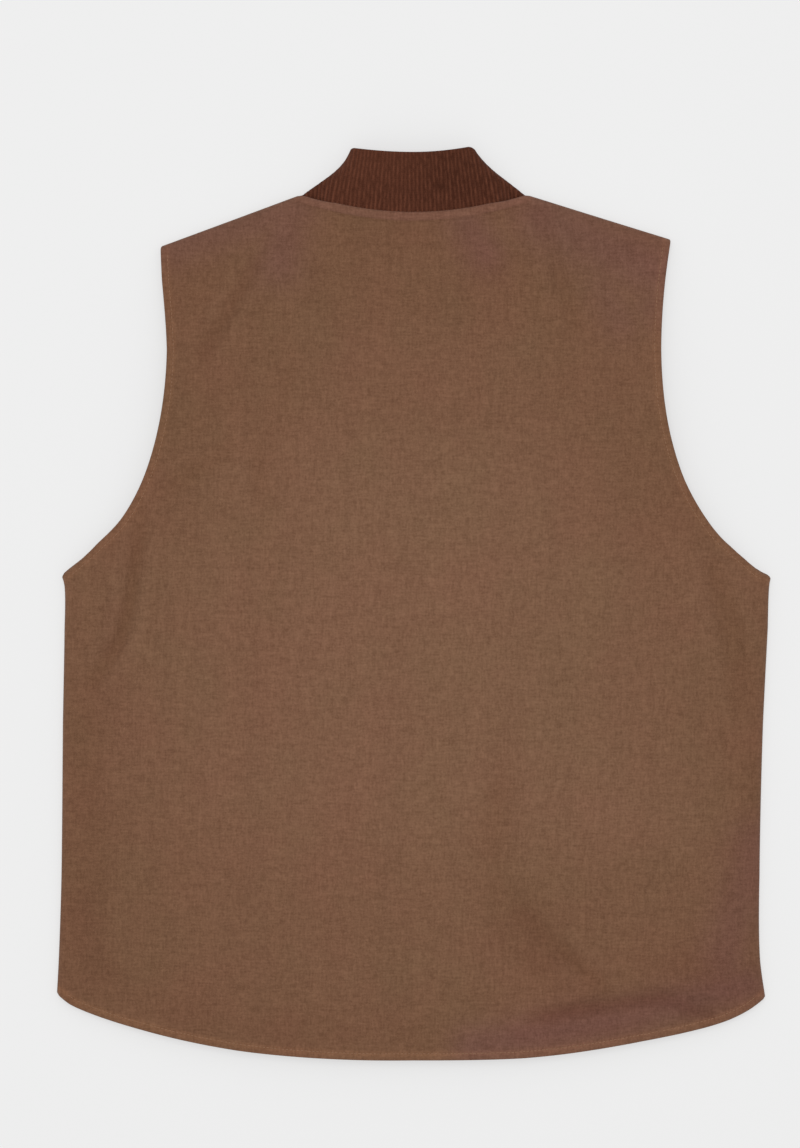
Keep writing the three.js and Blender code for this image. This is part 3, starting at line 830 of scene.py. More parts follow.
def seam_wear(distance, inset):
    """How pale a topstitched edge has worn: most beside the stitches, less out to the edge."""
    out_to_edge = 1 - smoothstep(distance, SEAM_WEAR["edge_place"] * inset, inset)
    return bump(distance - inset, SEAM_WEAR["width"]) + SEAM_WEAR["edge"] * out_to_edge


def upright_at_seams(normals, sewn_side, side, sewn_top, shoulder):
    """Normals turned level right at the sewn edges, so that a panel's wall stands upright there."""
    at_side, at_shoulder = (np.clip(1 - distance / UPRIGHT_REACH, 0, 1) for distance in (side, shoulder))
    normals[..., 2] *= 1 - np.maximum(sewn_side * at_side, sewn_top * at_shoulder)
    return normals / np.linalg.norm(normals, axis=-1, keepdims=True)


def wall_of(canvas, open_distance):
    """Thickness of a canvas panel, which is greater at its turned edges."""
    start = canvas.turned_width - TURNED_STEP["before"]
    end = canvas.turned_width + TURNED_STEP["after"]
    return canvas.wall + canvas.turned * (1 - smoothstep(open_distance, start, end))


# Materials


def give(tree, node, inputs):
    """Gives each of a node's inputs a value or a link."""
    for socket, value in inputs.items():
        if isinstance(value, bpy.types.NodeSocket):
            tree.links.new(value, node.inputs[socket])
        else:
            node.inputs[socket].default_value = value


def placed(tree, kind, inputs=None, **properties):
    """Adds a shader node, sets its properties and gives its inputs a value or a link."""
    made = tree.nodes.new(kind)
    for name, value in properties.items():
        setattr(made, name, value)
    give(tree, made, inputs or {})
    return made


def maths(tree, operation, first, second=0.0):
    return placed(tree, "ShaderNodeMath", {0: first, 1: second}, operation=operation).outputs[0]


def blended(tree, first, second, share):
    """Two values added, the first with its share and the second with the rest."""
    parts = (maths(tree, "MULTIPLY", first, share), maths(tree, "MULTIPLY", second, 1 - share))
    return maths(tree, "ADD", *parts)


def ranged(tree, value, low=0.0, high=1.0, to_low=0.0, to_high=1.0):
    inputs = {"Value": value, "From Min": low, "From Max": high, "To Min": to_low, "To Max": to_high}
    return placed(tree, "ShaderNodeMapRange", inputs).outputs["Result"]


def mixed(tree, factor, first, second, blend="MIX"):
    """A mix of two colours, each a colour or a link."""
    inputs = {MIX_FACTOR: factor}
    for socket, colour in zip(MIX_COLOURS, (first, second)):
        inputs[socket] = colour if isinstance(colour, bpy.types.NodeSocket) else (*colour, 1.0)
    made = placed(tree, "ShaderNodeMix", inputs, data_type="RGBA", blend_type=blend)
    return made.outputs[MIX_RESULT]


def two_toned(tree, factor, colour, dark, pale=1.0):
    """A colour between a darker and a paler tone of itself."""
    tones = [tuple(min(1.0, share * part) for part in colour) for share in (dark, pale)]
    return mixed(tree, factor, *tones)


def noise(tree, place, scale, detail, roughness=0.5):
    inputs = {"Vector": place, "Scale": scale, "Detail": detail, "Roughness": roughness}
    return placed(tree, "ShaderNodeTexNoise", inputs).outputs["Fac"]


def new_group(name, inputs, output):
    """An empty shader node group with named values in and one out."""
    group = bpy.data.node_groups.new(name, "ShaderNodeTree")
    for socket, kind, default in inputs:
        made = group.interface.new_socket(socket, in_out="INPUT", socket_type=kind)
        if default is not None:
            made.default_value = default
    group.interface.new_socket(output, in_out="OUTPUT", socket_type="NodeSocketFloat")
    given = group.nodes.new("NodeGroupInput").outputs
    return group, given, group.nodes.new("NodeGroupOutput").inputs[output]


def scaled_place(tree, place, x, y, z):
    """A place multiplied along each axis by a value or a link."""
    scale = placed(tree, "ShaderNodeCombineXYZ", {"X": x, "Y": y, "Z": z}).outputs[0]
    return placed(tree, "ShaderNodeVectorMath", {0: place, 1: scale}, operation="MULTIPLY").outputs[0]


def yarn_streaks(name):
    """Uneven yarns both ways across a weave with flecks over them, as a tone from 0 to 1."""
    inputs = (
        ("Place", "NodeSocketVector", None),
        ("Yarns per metre", "NodeSocketFloat", 900.0),
        ("Stretch", "NodeSocketFloat", 9.0),
    )
    group, given, tone = new_group(name, inputs, "Tone")
    fine = given["Yarns per metre"]
    coarse = maths(group, "DIVIDE", fine, given["Stretch"])
    streaks = []
    for x, y, shift in ((fine, coarse, 0.0), (coarse, fine, 7.3)):
        place = scaled_place(group, given["Place"], x, y, coarse)
        moved = placed(group, "ShaderNodeVectorMath", {0: place, 1: (shift, shift, shift)}, operation="ADD")
        streaks.append(noise(group, moved.outputs[0], 1.0, 2.0))
    flecks = noise(group, given["Place"], fine, 1.0)
    total = maths(group, "ADD", maths(group, "ADD", *streaks), flecks)
    group.links.new(ranged(group, total, 1.1, 1.9), tone)
    return group


def plain_weave(name):
    """Over and under of a plain weave, as a height from 0 to 1."""
    inputs = (("Place", "NodeSocketVector", None), ("Pitch", "NodeSocketFloat", 0.0006))
    group, given, height = new_group(name, inputs, "Height")
    turns = maths(group, "DIVIDE", math.pi, given["Pitch"])
    axes = placed(group, "ShaderNodeSeparateXYZ", {0: given["Place"]}).outputs
    waves = [maths(group, "SINE", maths(group, "MULTIPLY", axes[k], turns)) for k in range(2)]
    group.links.new(ranged(group, maths(group, "MULTIPLY", *waves), -1.0, 1.0), height)
    return group


def soft_patches(name):
    """Broad soft patches, such as uneven dye or tarnish, as a mask from 0 to 1."""
    inputs = (("Place", "NodeSocketVector", None), ("Patches per metre", "NodeSocketFloat", 12.0))
    group, given, mask = new_group(name, inputs, "Mask")
    uneven = noise(group, given["Place"], given["Patches per metre"], 3.0, 0.6)
    group.links.new(ranged(group, uneven, 0.32, 0.68), mask)
    return group


NODE_GROUPS = {"Yarn streaks": yarn_streaks, "Plain weave": plain_weave, "Soft patches": soft_patches}


def grouped(tree, name, inputs):
    """Places one of the node groups, which is made at its first use."""
    group = bpy.data.node_groups.get(name) or NODE_GROUPS[name](name)
    return placed(tree, "ShaderNodeGroup", inputs, node_tree=group).outputs[0]


def new_material(name):
    """A material with its node tree, its shader and the place in the vest's own frame."""
    material = bpy.data.materials.new(name)
    material.use_nodes = True
    tree = material.node_tree
    shader = next(n for n in tree.nodes if n.type == "BSDF_PRINCIPLED")
    place = placed(tree, "ShaderNodeTexCoord").outputs["Object"]
    return material, tree, shader, place


def attribute(tree, name):
    return placed(tree, "ShaderNodeAttribute", attribute_name=name).outputs["Fac"]


def finish_shader(tree, shader, look, height, depth):
    """Gives a shader its looks and a fine relief."""
    relief = placed(tree, "ShaderNodeBump", {"Strength": 1.0, "Distance": depth, "Height": height})
    give(tree, shader, {**look, "Normal": relief.outputs["Normal"]})


def canvas_material(name, canvas):
    """Matt cotton canvas: a plain weave of mottled yarns with its dye patches, painted light and shade, and
    wear.
    """
    material, tree, shader, place = new_material(name)
    fine = grouped(tree, "Yarn streaks", {"Place": place, "Yarns per metre": 600.0, "Stretch": 4.5})
    slub = grouped(tree, "Yarn streaks", {"Place": place, "Yarns per metre": 210.0, "Stretch": 6.0})
    tone = blended(tree, fine, slub, FINE_YARN_SHARE)
    weave = grouped(tree, "Plain weave", {"Place": place, "Pitch": 0.00065})
    patch = grouped(tree, "Soft patches", {"Place": place, "Patches per metre": 11.0})
    warp = grouped(tree, "Soft patches", {"Place": scaled_place(tree, place, *WARP_STRETCH)})
    colour = mixed(tree, tone, canvas.dark_yarn, canvas.light_yarn)
    # The third mask tints the canvas from painted shade to painted light
    for mask, tints in ((patch, "dye"), (warp, "warp"), (attribute(tree, "fade"), "fade")):
        tint = mixed(tree, mask, *CANVAS_TINTS[tints])
        colour = mixed(tree, 1.0, colour, tint, "MULTIPLY")
    # The cooler bloom is in part painted shade, the crease tint is painted shade, and the wear is the
    # canvas's own
    for mask in ("bloom", "crease", "worn"):
        colour = mixed(tree, attribute(tree, mask), colour, CANVAS_TINTS[mask], "MULTIPLY")
    look = {
        "Base Color": colour,
        "Roughness": ranged(tree, tone, to_low=0.95, to_high=0.84),
        "Specular IOR Level": 0.2,
        "Sheen Weight": 0.08,
        "Sheen Roughness": 0.5,
    }
    finish_shader(tree, shader, look, blended(tree, weave, tone, 0.5), RELIEF_DEPTH["canvas"])
    return material


def knit_material(name, collar):
    """Dark rib knit: painted light on the rib crests and painted shade in the furrows, rows of small loops
    along each rib and a fibre mottle.
    """
    material, tree, shader, place = new_material(name)
    rib = attribute(tree, "rib")
    rise = attribute(tree, "rise")
    lean = maths(tree, "MULTIPLY", maths(tree, "PINGPONG", rib, 0.5), KNIT_LOOP["lean"])
    turn = maths(tree, "MULTIPLY", rise, math.tau / KNIT_LOOP["pitch"])
    loop = ranged(tree, maths(tree, "SINE", maths(tree, "ADD", turn, lean)), -1.0, 1.0)
    fibre = grouped(tree, "Yarn streaks", {"Place": place, "Yarns per metre": 1100.0, "Stretch": 2.5})
    up = maths(tree, "MULTIPLY", rise, KNIT_UNEVEN["per_metre"])
    on_ribs = placed(tree, "ShaderNodeCombineXYZ", {"X": rib, "Y": up}).outputs[0]
    uneven = noise(tree, on_ribs, KNIT_UNEVEN["scale"], 2.0)
    uneven = ranged(tree, uneven, *KNIT_UNEVEN["noise"], *KNIT_UNEVEN["share"])
    # Painted light on the rib crests
    crest = maths(tree, "MULTIPLY", attribute(tree, "crest"), uneven)
    pale = maths(tree, "MULTIPLY", crest, ranged(tree, rise, *CREST_ALONG["rise"], *CREST_ALONG["share"]))
    pale = maths(tree, "ADD", pale, maths(tree, "MULTIPLY", loop, KNIT_MOTTLE["loop"]))
    pale = maths(tree, "ADD", pale, attribute(tree, "mark"))
    pale = maths(tree, "ADD", pale, maths(tree, "MULTIPLY", fibre, KNIT_MOTTLE["fibre"]))
    look = {
        "Base Color": mixed(tree, pale, collar.shaded_furrow, collar.crest),
        "Roughness": ranged(tree, fibre, to_low=1.0, to_high=0.86),
        "Specular IOR Level": 0.1,
        "Sheen Weight": 0.03,
        "Sheen Roughness": 0.6,
    }
    finish_shader(tree, shader, look, blended(tree, loop, fibre, 0.6), RELIEF_DEPTH["knit"])
    return material


def thread_material(name, stitches):
    """Plied sewing thread, a little paler than the canvas."""
    material, tree, shader, place = new_material(name)
    fibre = grouped(tree, "Yarn streaks", {"Place": place, "Yarns per metre": 2600.0, "Stretch": 2.0})
    look = {
        "Base Color": two_toned(tree, fibre, stitches.colour, dark=0.7, pale=1.25),
        "Roughness": ranged(tree, fibre, to_low=0.8, to_high=0.6),
    }
    finish_shader(tree, shader, look, fibre, RELIEF_DEPTH["thread"])
    return material


def tape_material(name, settings):
    """Woven zip tape."""
    material, tree, shader, place = new_material(name)
    tone = grouped(tree, "Yarn streaks", {"Place": place, "Yarns per metre": 1500.0, "Stretch": 4.0})
    weave = grouped(tree, "Plain weave", {"Place": place, "Pitch": 0.0008})
    look = {
        "Base Color": two_toned(tree, tone, settings.tape, dark=0.75, pale=1.3),
        "Roughness": ranged(tree, tone, to_low=0.92, to_high=0.8),
    }
    finish_shader(tree, shader, look, weave, RELIEF_DEPTH["tape"])
    return material


def brass_material(name, settings):
    """Dull aged brass with darker patches of tarnish."""
    material, tree, shader, place = new_material(name)
    patch = grouped(tree, "Soft patches", {"Place": place, "Patches per metre": 220.0})
    look = {
        "Base Color": two_toned(tree, patch, settings.brass, dark=0.45),
        "Roughness": ranged(tree, patch, to_low=0.62, to_high=0.38),
        "Metallic": 1.0,
    }
    finish_shader(tree, shader, look, patch, RELIEF_DEPTH["brass"])
    return material


def floor_material(name, stage):
    """Plain pale floor with a hardly visible unevenness."""
    material, tree, shader, place = new_material(name)
    patch = grouped(tree, "Soft patches", {"Place": place, "Patches per metre": 1.5})
    look = {
        "Base Color": two_toned(tree, patch, stage.floor, dark=0.985),
        "Roughness": ranged(tree, patch, to_low=0.95, to_high=0.9),
        "Specular IOR Level": 0.0,
        "Emission Color": WHITE,
        "Emission Strength": stage.glow,
    }
    finish_shader(tree, shader, look, patch, RELIEF_DEPTH["floor"])
    return material


MATERIALS = {
    "Brown canvas": canvas_material,
    "Dark rib knit": knit_material,
    "Sewing thread": thread_material,
    "Zip tape": tape_material,
    "Aged brass": brass_material,
    "Pale floor": floor_material,
}


def material_of(name, settings):
    """The material of that name, made at its first use."""
    return bpy.data.materials.get(name) or MATERIALS[name](name, settings)


# Pieces


def back_edges():
    edges = {
        side: joined((side_line(side), SIDE_SHARE), (armhole_line(side), 1 - SIDE_SHARE))
        for side in OUTWARDS
    }
    edges["bottom"] = even(hem_line(), EDGE_POINTS)
    edges["top"] = joined(
        (shoulder_line("left"), SHOULDER_SHARE),
        (neck_line(), 1 - 2 * SHOULDER_SHARE),
        (shoulder_line("right")[::-1], SHOULDER_SHARE),
    )
    return edges


def back_arch(plan, u, v, near, sewn_side, sewn_top, canvas):
    """Height of the back: rolled up from its low seams, crowned, and lifted round the armholes."""
    from_side = np.minimum(near["side"], near["armhole"])
    from_top = np.minimum(near["shoulder"], near["neck"])
    side_roll = 1 + sewn_side * (rolled(from_side, ROLL_WIDTH) - 1)
    top_roll = 1 + sewn_top * (rolled(from_top, ROLL_WIDTH) - 1)
    top_fall = 1 + sewn_top * (smoothstep(from_top, -ROLL_WIDTH, SHOULDER_SLOPE) - 1)
    crown = canvas.crown * (1 - np.abs(2 * u - 1) ** CROWN_POWER) * top_fall
    crown = crown * share_along(CROWN_ALONG, v) * top_roll
    round_arm = np.clip((v - SIDE_SHARE) / (1 - SIDE_SHARE), 0, 1)
    lift = np.sin(math.pi * round_arm) * np.exp(-from_side / ARMHOLE_LIFT_REACH)
    seams = seam_height(plan) + ROLL_RISE * np.minimum(side_roll, top_roll)
    return seams + crown + canvas.armhole_lift * lift


def back_masks(plan, u, v, near, folds, stitches):
    """Painted light and shade over the back, its cooler bloom, in part painted shade, and its wear, for its
    material to read.
    """
    inset, neck_inset = stitches.inset, stitches.neck_inset
    # Painted light: lighter in the middle, painted shade towards the edges and in fold valleys, painted
    # light on fold ridges, less along the painted shade lines
    out = np.abs(2 * u - 1) / share_along(PAINTED_LIGHT_ALONG, v, "width")
    fade = np.exp(-PAINTED_LIGHT_FALL * out**PAINTED_LIGHT_POWER) * share_along(PAINTED_LIGHT_ALONG, v)
    fade = fade + np.clip(folds / FOLD_PAINTED_LIGHT_HEIGHT, *FOLD_PAINTED_LIGHT) - sum(marked(plan, SHADES))
    # Painted shade along the neck's pressed line
    line = bump(near["neck"] - neck_inset, NECK_STRIP["line_width"])
    strip = 1 - smoothstep(near["neck"], NECK_STRIP["edge"] * neck_inset, neck_inset)
    worn = (
        seam_wear(near["hem"], inset),
        ARMHOLE_WEAR * seam_wear(near["armhole"], inset),
        NECK_STRIP["worn"] * strip,
    )
    return {
        "fade": np.clip(fade - NECK_STRIP["line_shade"] * line, 0, 1),
        "bloom": np.maximum.reduce([*marked(plan, BLOOMS), NECK_STRIP["bloom"] * strip]),
        "crease": sum(marked(plan, CREASE_SHADES)),
        "worn": np.maximum.reduce(worn),
    }


def make_back(canvas, stitches):
    """The one-piece back, arched over the fronts, with its folds and its turned and stitched edges."""
    width, length = MEAN_SIZE["back"]
    u = stations(width, SPACING["back"], (SHOULDER_SHARE, 1 - SHOULDER_SHARE))
    v = stations(length, SPACING["back"], (SIDE_SHARE,))
    plan = spanned(back_edges(), u, v)
    u, v = u[None, :], v[:, None]

    turned = [nearest(plan, line) for line in (hem_line(), *map(armhole_line, OUTWARDS))]
    neck = nearest(plan, neck_line())
    near = {
        "side": np.minimum(*(nearest(plan, side_line(side))[0] for side in OUTWARDS)),
        "shoulder": np.minimum(*(nearest(plan, shoulder_line(side))[0] for side in OUTWARDS)),
        "hem": turned[0][0],
        "armhole": np.minimum(turned[1][0], turned[2][0]),
        "neck": neck[0],
    }
    sewn_side = sewn_to(v, SIDE_SHARE)
    sewn_top = sewn_to(np.minimum(u, 1 - u), SHOULDER_SHARE)
    clear = smoothstep(np.minimum.reduce(list(near.values())), 0, FOLD_CLEARANCE)
    folds = clear * fold_relief(plan)
    relaxed = sum(ripples(plan, **row) for row in RIPPLES)
    height = back_arch(plan, u, v, near, sewn_side, sewn_top, canvas)
    height = height + canvas.fold_strength * folds + clear * relaxed

    grid = np.concatenate([plan, height[..., None]], axis=-1)
    normals = upright_at_seams(grid_normals(grid), sewn_side, near["side"], sewn_top, near["shoulder"])
    open_edge = np.minimum.reduce([near[name] for name in ("hem", "armhole", "neck")])
    wall = wall_of(canvas, open_edge)
    half = wall / 2 * rounded_over(open_edge, wall, EDGE_ROUND)
    relief = sum(
        stitched_relief(*edge, stitches.inset, GROOVE_DEPTH["edge"], phase)
        for phase, edge in enumerate(turned)
    )
    relief = relief + stitched_relief(*neck, stitches.neck_inset, GROOVE_DEPTH["neck"], NECK_PUCKER_PHASE)
    relief = relief * smoothstep(np.minimum(near["side"], near["shoulder"]), *GROOVE_FADE)
    outside = grid + normals * (half - wall / 2 + relief)[..., None]
    inside = grid - normals * (half + wall / 2 + GROOVE_INSIDE * relief)[..., None]

    made = walled_mesh("back_canvas", outside, inside, material_of("Brown canvas", canvas))
    paint(made, **back_masks(plan, u, v, near, folds, stitches))
    dress(made, "canvas", "back_panel")


def make_front(side, canvas, stitches):
    """A plain front lying on its face, with its turned edges and the roll up to its seams."""
    outwards = OUTWARDS[side]
    hem, armhole, neck = front_hem_line(side), front_armhole_line(side), front_neck_line(side)
    edges = {
        "left": joined((side_line(side), SIDE_SHARE), (armhole, 1 - SIDE_SHARE)),
        "right": even(front_edge_line(side), EDGE_POINTS),
        "bottom": even(hem, EDGE_POINTS),
        "top": joined((shoulder_line(side), FRONT_SHOULDER_SHARE), (neck, 1 - FRONT_SHOULDER_SHARE)),
    }
    width, length = MEAN_SIZE["front"]
    u = stations(width, SPACING["front"], (FRONT_SHOULDER_SHARE,))
    v = stations(length, SPACING["front"], (SIDE_SHARE,))
    plan = spread(spanned(edges, u, v), u, v, MEAN_SIZE["front"])
    sewn_side = sewn_to(v[:, None], SIDE_SHARE)
    sewn_top = sewn_to(u[None, :], FRONT_SHOULDER_SHARE)
    from_side, _ = nearest(plan, side_line(side))
    shoulder, _ = nearest(plan, shoulder_line(side))
    seam = np.minimum(from_side, shoulder)
    open_edges = [nearest(plan, line)[0] for line in (hem, armhole, neck, edges["right"])]
    open_edge = np.minimum.reduce(open_edges)

    side_lift = sewn_side * (1 - rolled(from_side, FRONT_ROLL_WIDTH))
    top_lift = sewn_top * (1 - rolled(shoulder, FRONT_ROLL_WIDTH))
    height = (seam_height(plan) - SEAM_GAP) * np.maximum(side_lift, top_lift)
    wall = wall_of(canvas, open_edge)
    grid = np.concatenate([plan, height[..., None]], axis=-1)
    normals = -outwards * grid_normals(grid)
    normals = upright_at_seams(normals, sewn_side, from_side, sewn_top, shoulder)
    half = wall / 2 * rounded_over(open_edge, wall, EDGE_ROUND)
    grooves = []
    for number, distance in enumerate(open_edges):
        others = np.minimum.reduce(open_edges[:number] + open_edges[number + 1 :])
        within = smoothstep(others, GROOVE_STOP * stitches.inset, stitches.inset)
        grooves.append(within * bump(distance - stitches.inset, GROOVE_WIDTH))
    groove = GROOVE_DEPTH["front"] * np.maximum.reduce(grooves) * smoothstep(seam, *GROOVE_FADE)
    outside = grid + normals * (wall / 2 - half + groove)[..., None]
    inside = grid + normals * (wall / 2 + half - groove)[..., None]

    canvas_look = material_of("Brown canvas", canvas)
    made = walled_mesh(f"front_canvas_{side}", outside, inside, canvas_look, flipped=outwards < 0)
    # Painted shade towards the fronts' edges and seams
    fade = FRONT_PAINTED_LIGHT["share"] * smoothstep(np.minimum(open_edge, seam), 0, FRONT_PAINTED_LIGHT["reach"])
    plain = np.zeros_like(fade)
    worn = FRONT_WEAR * seam_wear(open_edge, stitches.inset)
    paint(made, fade=fade, bloom=plain, crease=plain, worn=worn)
    dress(made, "canvas", f"front_panel_{side}")


def neck_height(across, crown):
    """Height of the back's neck edge, from the middle of the back at 0 to a shoulder seam at 1."""
    u = 0.5 + (0.5 - SHOULDER_SHARE) * across
    sewn = sewn_to(1 - u, SHOULDER_SHARE)
    fall = 1 + sewn * (smoothstep(0, -ROLL_WIDTH, SHOULDER_SLOPE) - 1)
    arched = crown * (1 - (2 * u - 1) ** CROWN_POWER) * fall * share_along(CROWN_ALONG, np.ones_like(u))
    return seam_height(neck_points(across)) + (ROLL_RISE + arched) * (1 - sewn)


def collar_back(share, wall, side, crown):
    """Middle of the band's wall at a share of its height, from the middle of the back to its fold."""
    shares = np.linspace(0, 1, len(COLLAR_LEVELS))
    level = {
        key: np.polyval(np.polyfit(shares, [row[key] for row in COLLAR_LEVELS], len(shares) - 1), share)
        for key in COLLAR_LEVELS[0]
    }
    across = np.sin(np.linspace(0, math.pi / 2, COLLAR_POINTS["back"]))
    arch = (1 - across**COLLAR_ARCH_POWER) ** (1 / COLLAR_ARCH_POWER)
    half_width = level["half_width"] - wall / 2 - side["pinch"] * math.sin(math.pi * share)
    half_width = half_width + side["flare"] * share**2
    z = level["fold_z"] + (level["arch_z"] - level["fold_z"]) * arch
    under_edge = neck_height(across * half_width / NECK_HALF_WIDTH, crown) - wall / 2 - COLLAR_SET_DOWN
    near_seam = 1 - smoothstep(share, 0, COLLAR_SEAM_SHARE)
    z = z + near_seam * (np.maximum(under_edge, level["fold_z"]) - z)
    past = np.clip(1 - (1 - across) * half_width / side["corner"], 0, 1)
    dropped = side["corner"] * (1 - np.sqrt(1 - past**2))
    y = level["back_y"] + (level["fold_y"] - level["back_y"]) * across**2
    y = y + share**COLLAR_TOP_POWER * (side["rise"] * across**2 - dropped)
    return np.stack([across * half_width, y, z], axis=1)


def collar_front(share, wall, fold):
    """Middle of the band's wall at a share of its height, from its fold down a front's neck to its end."""
    neck = even(front_neck_line("right", COLLAR_FRONT_CLEARANCE), EDGE_POINTS)
    run = np.linspace(0, 1, COLLAR_POINTS["front"])[1:] ** 2
    front = along(neck, run)
    front[:, 0] += (fold[0] - neck[0, 0]) * (1 - run) + (COLLAR_END - FRONT_EDGE) * run
    front[:, 1] += (fold[1] - neck[0, 1]) * (1 - run) + COLLAR_END_HEIGHT * share * run
    down = rolled(np.hypot(front[:, 0] - fold[0], front[:, 1] - fold[1]), COLLAR_FOLD_REACH)
    z = fold[2] + (wall / 2 - fold[2]) * down
    return np.concatenate([front, z[:, None]], axis=1)


def make_collar(collar, crown):
    """The ribbed band, folded flat, with a rounded top edge."""
    full = collar.wall + collar.rib_rise
    front_columns = (collar.ribs - EVEN_RIBS) * COLUMNS_PER_RIB["front"]
    number = np.concatenate([
        np.arange(EVEN_RIBS * COLUMNS_PER_RIB["back"]) / COLUMNS_PER_RIB["back"],
        np.linspace(EVEN_RIBS, collar.ribs, front_columns + 1),
    ])
    rise = np.concatenate([
        np.linspace(0, COLLAR_FINE_HEIGHT, COLLAR_ROWS["fine"], endpoint=False),
        np.linspace(COLLAR_FINE_HEIGHT, COLLAR_HEIGHT - COLLAR_COARSE_END, COLLAR_ROWS["coarse"]),
        COLLAR_HEIGHT - COLLAR_TOP_ROWS,
    ])
    rows = []
    for share in rise / COLLAR_HEIGHT:
        pitch = RIB_PITCH["seam"] + (RIB_PITCH["top"] - RIB_PITCH["seam"]) * share
        halves = []
        for side in COLLAR_SIDES.values():
            back = collar_back(share, full, side, crown)
            level = np.vstack([back, collar_front(share, full, back[-1])])
            at = np.interp(number, (0, EVEN_RIBS, collar.ribs), (0, pitch * EVEN_RIBS, reaches(level)[-1]))
            halves.append(at_reaches(level, at))
        rows.append(np.vstack([halves[0][:0:-1] * (-1, 1, 1), halves[1]]))
    middle = np.array(rows)
    normals = grid_normals(middle)
    tilt = np.abs(normals[..., 2])
    rib = np.concatenate([-number[:0:-1], number])
    crest = np.abs(np.cos(math.pi * rib)) ** RIB_POWER
    taper = rounded_over(COLLAR_HEIGHT - rise, full, COLLAR_ROUND)[:, None]
    flattened = RIB_LEAST + (1 - RIB_LEAST) * smoothstep(tilt, *RIB_TILT)
    half = taper * (collar.wall / 2 + collar.rib_rise * flattened * (crest[None] - 0.5))
    outside = middle + normals * half[..., None]
    inside = middle - normals * half[..., None]
    made = walled_mesh("collar_knit", outside, inside, material_of("Dark rib knit", collar))
    masks = {
        # Where the crests get painted light against painted shade in the furrows, weaker where the band
        # turns on edge
        "crest": 0.5 + (crest[None] - 0.5) * smoothstep(tilt, *CREST_TILT),
        "rib": rib,
        "rise": rise[:, None],
        "mark": sum(marked(middle[..., :2], KNIT_MARKS)),
    }
    for name, values in masks.items():
        set_attribute(made, name, np.tile(np.broadcast_to(values, tilt.shape), (2, 1)))
    dress(made, "rib_knit", "rib_collar")


def inset_line(line, turn, inset, ends):
    """A line moved to the left of its run for a turn of 1, or to the right for -1, without its ends."""
    line = even(line, EDGE_POINTS)
    way = np.gradient(line, axis=0)
    way /= np.linalg.norm(way, axis=1, keepdims=True)
    aside = np.stack([-way[:, 1], way[:, 0]], axis=1)
    moved = even(line + inset * turn * aside, EDGE_POINTS)
    cut = round(ends / reaches(moved)[-1] * EDGE_POINTS)
    return moved[cut : EDGE_POINTS - cut]


def stitch_shape():
    """One stitch of unit size: a short thread that dips into the cloth at both ends."""
    points, faces = [], []
    for number, ring in enumerate(STITCH_RINGS):
        dip = STITCH_DIP * ring["along"] * ring["along"]
        low, high = number * STITCH_SIDES, (number + 1) * STITCH_SIDES
        for k, turn in enumerate(np.linspace(0, math.tau, STITCH_SIDES, endpoint=False)):
            z = STITCH_FLATNESS * ring["radius"] * math.sin(turn) + STITCH_RISE - dip
            points.append((ring["along"], ring["radius"] * math.cos(turn), z))
            after = (k + 1) % STITCH_SIDES
            faces.append((low + k, high + k, high + after, low + after))
    return np.array(points), np.array(faces[:-STITCH_SIDES])


def make_stitches(name, cloth, lines, stitches):
    """A row of stitches along each line, on both sides of the cloth."""
    points, faces = stitch_shape()
    tree = BVHTree.FromObject(cloth, bpy.context.evaluated_depsgraph_get())
    size = np.array([stitches.length / 2, stitches.thread / 2, stitches.thread / 2])
    vertices = []
    for line in lines:
        count = int(reaches(line)[-1] / (stitches.length + stitches.gap))
        path = even(line, 2 * count + 1)
        for side in (-1.0, 1.0):
            for k in range(1, 2 * count, 2):
                start = Vector((*path[k], -side * RAY_START))
                hit, normal, _, _ = tree.ray_cast(start, Vector((0, 0, side)))
                if hit is None:
                    raise RuntimeError(f"{name}: a stitch misses {cloth.name}")
                way = Vector((*(path[k + 1] - path[k - 1]), 0))
                across = normal.cross(way).normalized()
                ahead = across.cross(normal)
                axes = np.array([ahead, across, normal])
                shape = points * size @ axes + np.array(hit)
                shape[:, 2] += max(0.0, -shape[:, 2].min())
                vertices.append(shape)
    offsets = len(points) * np.arange(len(vertices))[:, None, None]
    thread = material_of("Sewing thread", stitches)
    made = smooth_object(name, np.array(vertices), (faces[None] + offsets).reshape(-1, 4), thread)
    dress(made, None)


def make_all_stitches(stitches):
    """Stitch lines along the hem and armholes of the back, and along the open edges of the fronts."""
    sewing = (stitches.inset, STITCH_LINE_END)
    back = [inset_line(hem_line(), 1, *sewing)]
    for side, outwards in OUTWARDS.items():
        back.append(inset_line(armhole_line(side), outwards, *sewing))
    make_stitches("back_stitching", bpy.data.objects["back_canvas"], back, stitches)
    for side, outwards in OUTWARDS.items():
        front = [
            inset_line(front_hem_line(side), -outwards, *sewing),
            inset_line(front_armhole_line(side), outwards, *sewing),
            inset_line(front_edge_line(side), -outwards, *sewing),
        ]
        cloth = bpy.data.objects[f"front_canvas_{side}"]
        make_stitches(f"front_stitching_{side}", cloth, front, stitches)


def block(size, place, bevel):
    """Corners and faces of a box with its upright edges cut off."""
    x, y, z = (part / 2 for part in size)
    ring = [(-x + bevel, -y), (x - bevel, -y), (x, -y + bevel), (x, y - bevel)]
    ring += [(x - bevel, y), (-x + bevel, y), (-x, y - bevel), (-x, -y + bevel)]
    points = np.array([(*p, h) for h in (-z, z) for p in ring]) + np.array(place)
    count = len(ring)
    faces = [(k, (k + 1) % count, count + (k + 1) % count, count + k) for k in range(count)]
    faces += [tuple(range(count - 1, -1, -1)), tuple(range(count, 2 * count))]
    return points, faces


